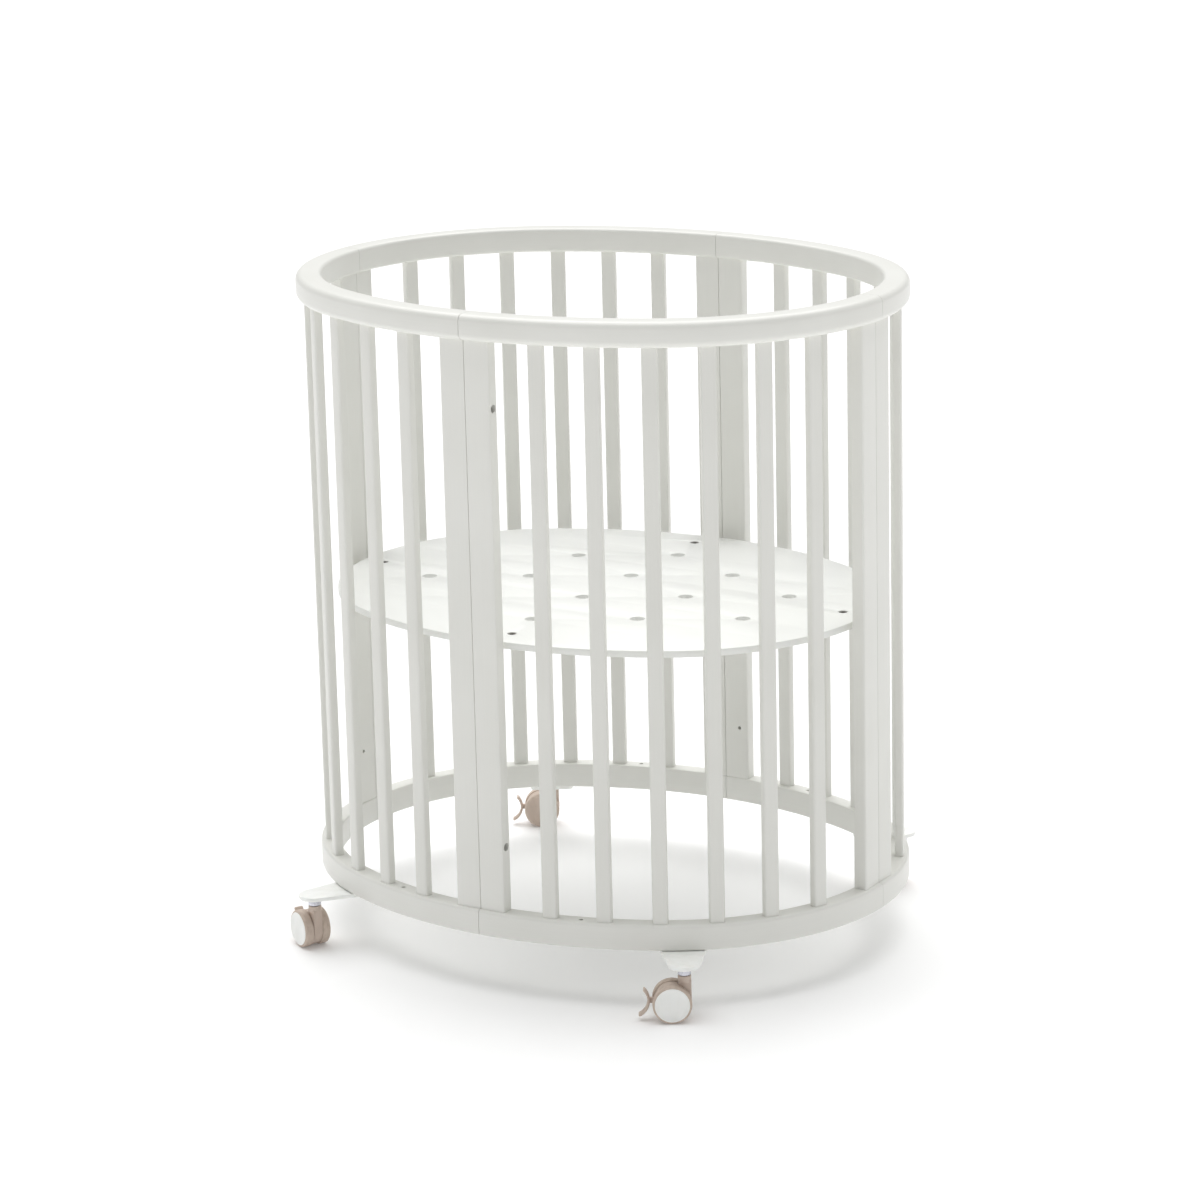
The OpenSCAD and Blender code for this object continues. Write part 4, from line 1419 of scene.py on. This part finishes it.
@dataclass
class Caster:
    """A braked twin-wheel caster: +X trails behind the swivel axis, and +Z is up."""

    name: str
    swivel: Vector
    trail_turn: float
    inward_turn: float
    white_side: int
    plate: CasterPlate
    trail: float = 16 * MM
    wheel: float = 25 * MM
    wheel_width: float = 12 * MM
    web_half: float = 6 * MM
    wheel_gap: float = 0.4 * MM
    cap: float = 22.2 * MM
    cap_seat: float = 2.5 * MM
    cap_proud: float = 0.5 * MM
    collar: float = 8.5 * MM
    pivot_back: float = 18.5 * MM
    pivot_up: float = 2 * MM
    pedal_gap: float = 3 * MM
    pedal_thickness: float = 3 * MM
    pedal_half: float = 6 * MM
    pedal_curve: float = 21 * MM
    pedal_up: float = 42.0
    pedal_down: float = 63.0
    body_rim: float = 1.5 * MM
    body_low: float = 20 * MM
    boss_top: float = 59.6 * MM
    boss_height: float = 8.6 * MM
    slot_half: float = 2.8 * MM
    slot_reach: float = 12.5 * MM
    slot_back: float = 4.6 * MM
    slot_length: float = 25 * MM

    def node(self, part: str) -> str:
        """Gives the CAD node's name for one of the caster's parts."""
        return f"{self.name}_caster_{part}"

    def place(self) -> Matrix:
        """Gives the move from the caster's own frame."""
        return Matrix.Translation(self.swivel) @ Matrix.Rotation(self.trail_turn, 4, "Z")

    def hand_over(self, mesh: bpy.types.Mesh, part: str, body: str, finish: Finish) -> None:
        """Moves a mesh to the caster and hands it over.

        Args:
            mesh: the mesh, in the caster's own frame.
            part: the part's name, which ends the node's name.
            body: the body that it rides on.
            finish: its surface.
        """
        piece = finished(f"{self.name}_{part}_detail", placed(mesh, self.place()), finish)
        handed_over(piece, body, self.node(part))

    def body(self) -> bpy.types.Mesh:
        """Makes the body between the wheels, with its round boss and the slot for the lever.

        Returns:
            The body's mesh.
        """
        radius = self.wheel - self.body_rim
        front, bottom, top = -self.collar, self.body_low, self.boss_top
        boss = top - self.boss_height
        start = math.degrees(math.asin((bottom - self.wheel) / radius))
        rise = math.degrees(math.acos((self.collar - self.trail) / radius))
        rim = arc((self.trail, self.wheel), radius, rise, -180 - start, 56)
        outline = [(front, bottom), (front, boss + 2 * MM), (self.collar - 1 * MM, boss + 2 * MM)] + rim
        rings = [[Vector((x, y, z)) for x, z in outline] for y in (-self.web_half, self.web_half)]
        mesh = loft(rings)
        boss_profile = [(self.collar, boss), (self.collar, top - 0.8 * MM), (self.collar - 0.8 * MM, top)]
        mesh = combined(mesh, lathe(boss_profile, 48), Boolean.ADD)
        level, half = self.wheel + self.pivot_up, self.slot_half
        low, high = level - self.slot_reach, level + self.slot_reach
        left = self.trail + self.pivot_back - self.slot_back
        right = left + self.slot_length
        box = [(left, -half), (right, -half), (right, half), (left, half)]
        slot = loft([[Vector((x, y, z)) for x, y in box] for z in (low, high)])
        mesh = combined(mesh, slot, Boolean.CUT)
        return eased(mesh, 0.7 * MM)

    def wheel_mesh(self, side: int) -> bpy.types.Mesh:
        """Makes a wheel with a crowned tread, rounded edges, a fine rim groove and the cap's seat.

        Args:
            side: 1 for the caster's +Y side, -1 for the other.

        Returns:
            The wheel's mesh.
        """
        wide, out = self.wheel_width, self.wheel
        bore = 3.05 * MM
        tread = arc((out - 3 * MM, wide - 3 * MM), 3 * MM, 90, 0, 6)
        inner = arc((out - 1.5 * MM, 1.5 * MM), 1.5 * MM, 0, -90, 4)
        seat = wide - self.cap_seat
        lip, groove = out - 0.02 * MM, out - 0.25 * MM
        crown = [(lip, wide * 0.6), (groove, wide * 0.52), (groove, wide * 0.48), (lip, wide * 0.4)]
        section = ([(bore, 0), (bore, seat - 1.3 * MM), (4.8 * MM, seat - 1.3 * MM), (4.8 * MM, seat),
                    (self.cap + 0.05 * MM, seat), (self.cap + 0.05 * MM, wide - 0.3 * MM),
                    (self.cap + 0.35 * MM, wide)]
                   + tread + crown + inner)
        return self.on_axle([(r, self.web_half + self.wheel_gap + h) for r, h in section], side, 96, True)

    def cap_mesh(self, side: int) -> bpy.types.Mesh:
        """Makes a cap: a low rounded rim round a slightly hollow face.

        Args:
            side: 1 for the caster's +Y side, -1 for the other.

        Returns:
            The cap's mesh.
        """
        base = self.web_half + self.wheel_gap + self.wheel_width - self.cap_seat
        face = base + self.cap_seat + self.cap_proud
        rim = self.cap
        profile = [(rim - 0.2 * MM, base), (rim, base + 0.2 * MM)]
        profile += arc((rim - 0.7 * MM, face - 0.7 * MM), 0.7 * MM, 0, 90, 4)
        profile += [(rim - 1.4 * MM, face), (rim - 2.2 * MM, face - 0.35 * MM),
                    (rim - 9 * MM, face - 0.4 * MM),
                    (4 * MM, face - 0.45 * MM), (0.05 * MM, face - 0.45 * MM)]
        return self.on_axle(profile, side, 96, False)

    def on_axle(self, profile: list[tuple[float, float]], side: int, segments: int,
                loop: bool) -> bpy.types.Mesh:
        """Turns a profile and lays it along the axle.

        Args:
            profile: radius, and distance out from the caster's middle.
            side: 1 for the caster's +Y side, -1 for the other.
            segments: how many steps go round.
            loop: the profile is a closed section.

        Returns:
            The mesh in the caster's own frame.
        """
        mesh = lathe(profile, segments, loop)
        turn = Matrix.Rotation(math.radians(-90 * side), 4, "X")
        return placed(mesh, Matrix.Translation((self.trail, 0, self.wheel)) @ turn)

    def lever(self) -> bpy.types.Mesh:
        """Makes the rocker lever: a curved pedal with rounded rims, its arm, and the eye with its pivots.

        Returns:
            The lever's mesh.
        """
        level = self.wheel + self.pivot_up
        back = self.trail + self.wheel + self.pedal_gap + self.pedal_thickness / 2
        middle = (back + self.pedal_curve, level)
        half = self.pedal_thickness / 2
        steps = 30
        tip = math.degrees(half / self.pedal_curve)
        rings = []
        for i in range(-4, steps + 5):
            turn = (self.pedal_up + self.pedal_down) * min(max(i, 0), steps) / steps
            past = max(-i, i - steps, 0) / 4.5
            turn += math.copysign(tip * math.sin(past * math.pi / 2), i)
            thin = half * math.cos(past * math.pi / 2)
            wide = self.pedal_half - half * (1 - math.cos(past * math.pi / 2))
            angle = math.radians(180 - self.pedal_up + turn)
            ring = []
            edge = min(1.2 * MM, thin * 0.8)
            for out, across in rounded_box((-thin, -wide), (thin, wide), edge, edge, 3):
                reach = self.pedal_curve + out
                ring.append(Vector((middle[0] + reach * math.cos(angle), across,
                                    middle[1] + reach * math.sin(angle))))
            rings.append(ring)
        mesh = loft(rings)
        start = self.trail + self.pivot_back
        side, rise, corner = 2.5 * MM, 3.5 * MM, 0.8 * MM
        section = rounded_box((-side, level - rise), (side, level + rise), corner, corner, 3)
        arm = [[Vector((x, y, z)) for y, z in section] for x in (start, back)]
        mesh = combined(mesh, loft(arm), Boolean.ADD)
        for radius, reach in ((4 * MM, 2.5 * MM), (2 * MM, 5.8 * MM)):
            eye = cylinder(radius, Vector((start, -reach, level)), Vector((start, reach, level)), 32)
            mesh = combined(mesh, eye, Boolean.ADD)
        return mesh

    def stem(self) -> bpy.types.Mesh:
        """Turns the stem: a bright eased collar, the spigot above it, and the pin and catch below it.

        Returns:
            The stem's mesh.
        """
        low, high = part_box(self.node("stem"))
        collar_low, collar_high = 60 * MM, 70 * MM
        ease, groove = 0.8 * MM, self.collar - 0.4 * MM
        profile = [(4 * MM, low[2]), (4.3 * MM, low[2] + 0.5 * MM), (4.3 * MM, low[2] + 4 * MM),
                   (3.5 * MM, low[2] + 4.2 * MM), (3.5 * MM, collar_low), (self.collar - ease, collar_low),
                   (self.collar, collar_low + ease), (self.collar, collar_high - 2.2 * MM),
                   (groove, collar_high - 1.9 * MM), (groove, collar_high - 1.4 * MM),
                   (self.collar, collar_high - 1.1 * MM), (self.collar, collar_high), (6 * MM, collar_high),
                   (6 * MM, high[2] - 0.3 * MM), (5.7 * MM, high[2])]
        return lathe(profile, 64)

    def build(self) -> None:
        """Builds every part of the caster."""
        low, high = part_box(self.node("plate"))
        plate = self.plate.mesh(low[2], high[2])
        spot = Matrix.Translation(self.swivel) @ Matrix.Rotation(self.inward_turn, 4, "Z")
        piece = finished(f"{self.name}_plate_detail", placed(plate, spot), WHITE_ABS)
        handed_over(piece, "frame", self.node("plate"))
        self.hand_over(self.stem(), "stem", "frame", BRIGHT_ZINC)
        self.hand_over(self.body(), "body", self.node("swivel"), TAUPE_NYLON)
        self.hand_over(self.lever(), "brake_lever", self.node("brake"), TAUPE_NYLON)
        for label, side, finish in (("outer", self.white_side, WHITE_ABS),
                                    ("inner", -self.white_side, TAUPE_NYLON)):
            rider = self.node(f"{label}_wheel")
            self.hand_over(self.wheel_mesh(side), f"{label}_wheel", rider, TAUPE_TREAD)
            self.hand_over(self.cap_mesh(side), f"{label}_cap", rider, finish)


@dataclass
class CasterSet:
    """The four casters and the screws that hold their plates."""

    oval: Oval
    reach: float = 35 * MM
    direction: float = math.radians(58.8)
    heading: float = math.radians(211.8)
    front_left_heading: float = math.radians(151.8)
    plate: CasterPlate = field(default_factory=CasterPlate)

    def build(self, tree: SettingTree, hardware: Hardware) -> None:
        """Builds each caster where its panel's corner is, then sets the plate screws.

        Args:
            tree: the geometry nodes that set the screws.
            hardware: the makers of the screws.
        """
        sides = {"front_right": (1, -1), "back_right": (1, 1), "back_left": (-1, 1), "front_left": (-1, -1)}
        screws = []
        for name, (x, y) in sides.items():
            point = self.oval.point(self.direction, -self.reach)
            swivel = Vector((x * point.x, y * point.y, 0))
            inward = math.atan2(-y * math.sin(self.direction), -x * math.cos(self.direction))
            heading = self.front_left_heading if name == "front_left" else self.heading
            caster = Caster(name, swivel, heading, inward, -y, self.plate)
            caster.build()
            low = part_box(f"{name}_caster_plate")[0][2]
            spot = Matrix.Translation(swivel) @ Matrix.Rotation(inward, 4, "Z")
            for side in (-1, 1):
                place = spot @ Vector((self.plate.screw_place, side * self.plate.screw_side, low))
                screws.append((place, facing(Vector((0, 0, -1)))))
        piece = scratch(hardware.cross_screw(shank=2 * MM, head=4 * MM, head_height=2 * MM, length=25 * MM,
                                             countersunk=True))
        whole = tree.run(screws, BRIGHT_ZINC, Piece=piece, Seed=3)
        bpy.data.objects.remove(piece)
        handed_over(finished("plate_screw_set", whole, BRIGHT_ZINC), "frame", "plate_screws")


# ---- The studio ----


@dataclass
class Studio:
    """A plain pale floor, soft light and the camera."""

    floor_side: float = 80.0
    heading: float = math.radians(30.127)
    tilt: float = math.radians(13.969)
    roll: float = math.radians(-0.917)
    lens: float = 119.11
    shift: tuple[float, float] = (-0.0991, -0.0623)
    eye: tuple[float, float, float] = (2.6872, -4.3326, 1.8083)
    sensor: float = 36.0
    far_clip: float = 200.0
    world_strength: float = 0.42
    lamp_strength: float = 2.8
    lamp_spread: float = math.radians(70)
    lamp_turn: tuple[float, float, float] = (math.radians(-16), math.radians(-12), 0)

    def floor(self) -> None:
        """Lays the floor."""
        half = self.floor_side / 2
        mesh = bpy.data.meshes.new("floor")
        mesh.from_pydata([(-half, -half, 0), (half, -half, 0), (half, half, 0), (-half, half, 0)], [],
                         [(0, 1, 2, 3)])
        finished("studio_floor", mesh, FLOOR_PAPER)

    def light(self) -> None:
        """Lights the scene evenly, with one broad soft light overhead."""
        world = bpy.data.worlds.new("studio_light")
        world.use_nodes = True
        bpy.context.scene.world = world
        background = world.node_tree.nodes["Background"]
        background.inputs["Color"].default_value = (1.0, 1.0, 1.0, 1.0)
        background.inputs["Strength"].default_value = self.world_strength
        lamp = bpy.data.lights.new("overhead", "SUN")
        lamp.energy = self.lamp_strength
        lamp.angle = self.lamp_spread
        holder = bpy.data.objects.new("overhead", lamp)
        holder.rotation_euler = self.lamp_turn
        bpy.context.scene.collection.objects.link(holder)
        bpy.context.scene.view_settings.view_transform = "Standard"

    def camera(self) -> None:
        """Sets the camera from its heading, tilt and roll."""
        ahead = Vector((-math.sin(self.heading) * math.cos(self.tilt),
                        math.cos(self.heading) * math.cos(self.tilt), -math.sin(self.tilt)))
        level = Vector((math.cos(self.heading), math.sin(self.heading), 0))
        above = level.cross(ahead)
        right = level * math.cos(self.roll) + above * math.sin(self.roll)
        up = above * math.cos(self.roll) - level * math.sin(self.roll)
        lens = bpy.data.cameras.new("view")
        lens.sensor_width = self.sensor
        lens.lens = self.lens
        lens.shift_x, lens.shift_y = self.shift
        lens.clip_end = self.far_clip
        holder = bpy.data.objects.new("view", lens)
        turn = Matrix((right, up, -ahead)).transposed().to_4x4()
        holder.matrix_world = Matrix.Translation(self.eye) @ turn
        bpy.context.scene.collection.objects.link(holder)
        bpy.context.scene.camera = holder

    def build(self) -> None:
        """Builds the floor, the light and the camera."""
        self.floor()
        self.light()
        self.camera()


def kept_nodes(finishes: dict[str, Finish]) -> None:
    """Gives the CAD nodes whose own shape stays their finish.

    Args:
        finishes: node name to finish.
    """
    for name, finish in finishes.items():
        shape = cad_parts[name]
        for slot in shape.material_slots:
            slot.material = finish.material()
        LOG.info("%s: kept, as %s", name, finish.name)


def main() -> None:
    """Builds the crib's sub-assemblies in order."""
    logging.basicConfig(level=logging.INFO, format="%(message)s")
    half_length, half_width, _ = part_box("back_right_top_rail")[1]
    oval = Oval(half_length, half_width)
    hardware = Hardware()
    x, y = Vector((1, 0, 0)), Vector((0, 1, 0))
    seams = {
        "front": Seam(-oval.half_width * y, x, y),
        "right": Seam(oval.half_length * x, y, -x),
        "back": Seam(oval.half_width * y, -x, -y),
        "left": Seam(-oval.half_length * x, y, x),
    }
    slat_tree = SlatTree("set_slats", ("Slat Width", "Slat Thickness", "Slat Length", "Edge Radius"))
    slat_tree.finish()
    set_tree = SettingTree("set_fasteners")
    set_tree.finish()
    vent_tree = PerforationTree("drill_vents", ("Hole Radius", "Drill Length"))
    vent_tree.finish()
    low_holes = (23 * MM, 26 * MM)
    panels = (("front_right", (1, -1), ("front", "right"), (True, False), (0, 0)),
              ("back_right", (1, 1), ("back", "right"), (False, True), low_holes),
              ("back_left", (-1, 1), ("back", "left"), (True, True), (0, 0)),
              ("front_left", (-1, -1), ("front", "left"), (False, False), low_holes))
    for seed, (name, side, ends, heads, holes) in enumerate(panels):
        panel = QuarterPanel(name, side, oval, hardware, (seams[ends[0]], seams[ends[1]]), heads, holes)
        panel.build(slat_tree, seed)
    low, high = panel.level("bottom_rail")[1], panel.level("top_rail")[0]
    heights = (low + panel.bolt_margin, high - panel.bolt_margin)
    SeamHardware(seams, hardware, heights).build(set_tree)
    board = MattressBoard(oval, seams, hardware)
    board.board(vent_tree)
    board.brackets()
    board.fasteners(set_tree)
    CasterSet(oval).build(set_tree, hardware)
    kept_nodes({"seam_dowels": DOWEL_BEECH, **{f"{name}_caster_axle": BRIGHT_ZINC for name, *_ in panels}})
    Studio().build()


if __name__ == "__main__":
    main()
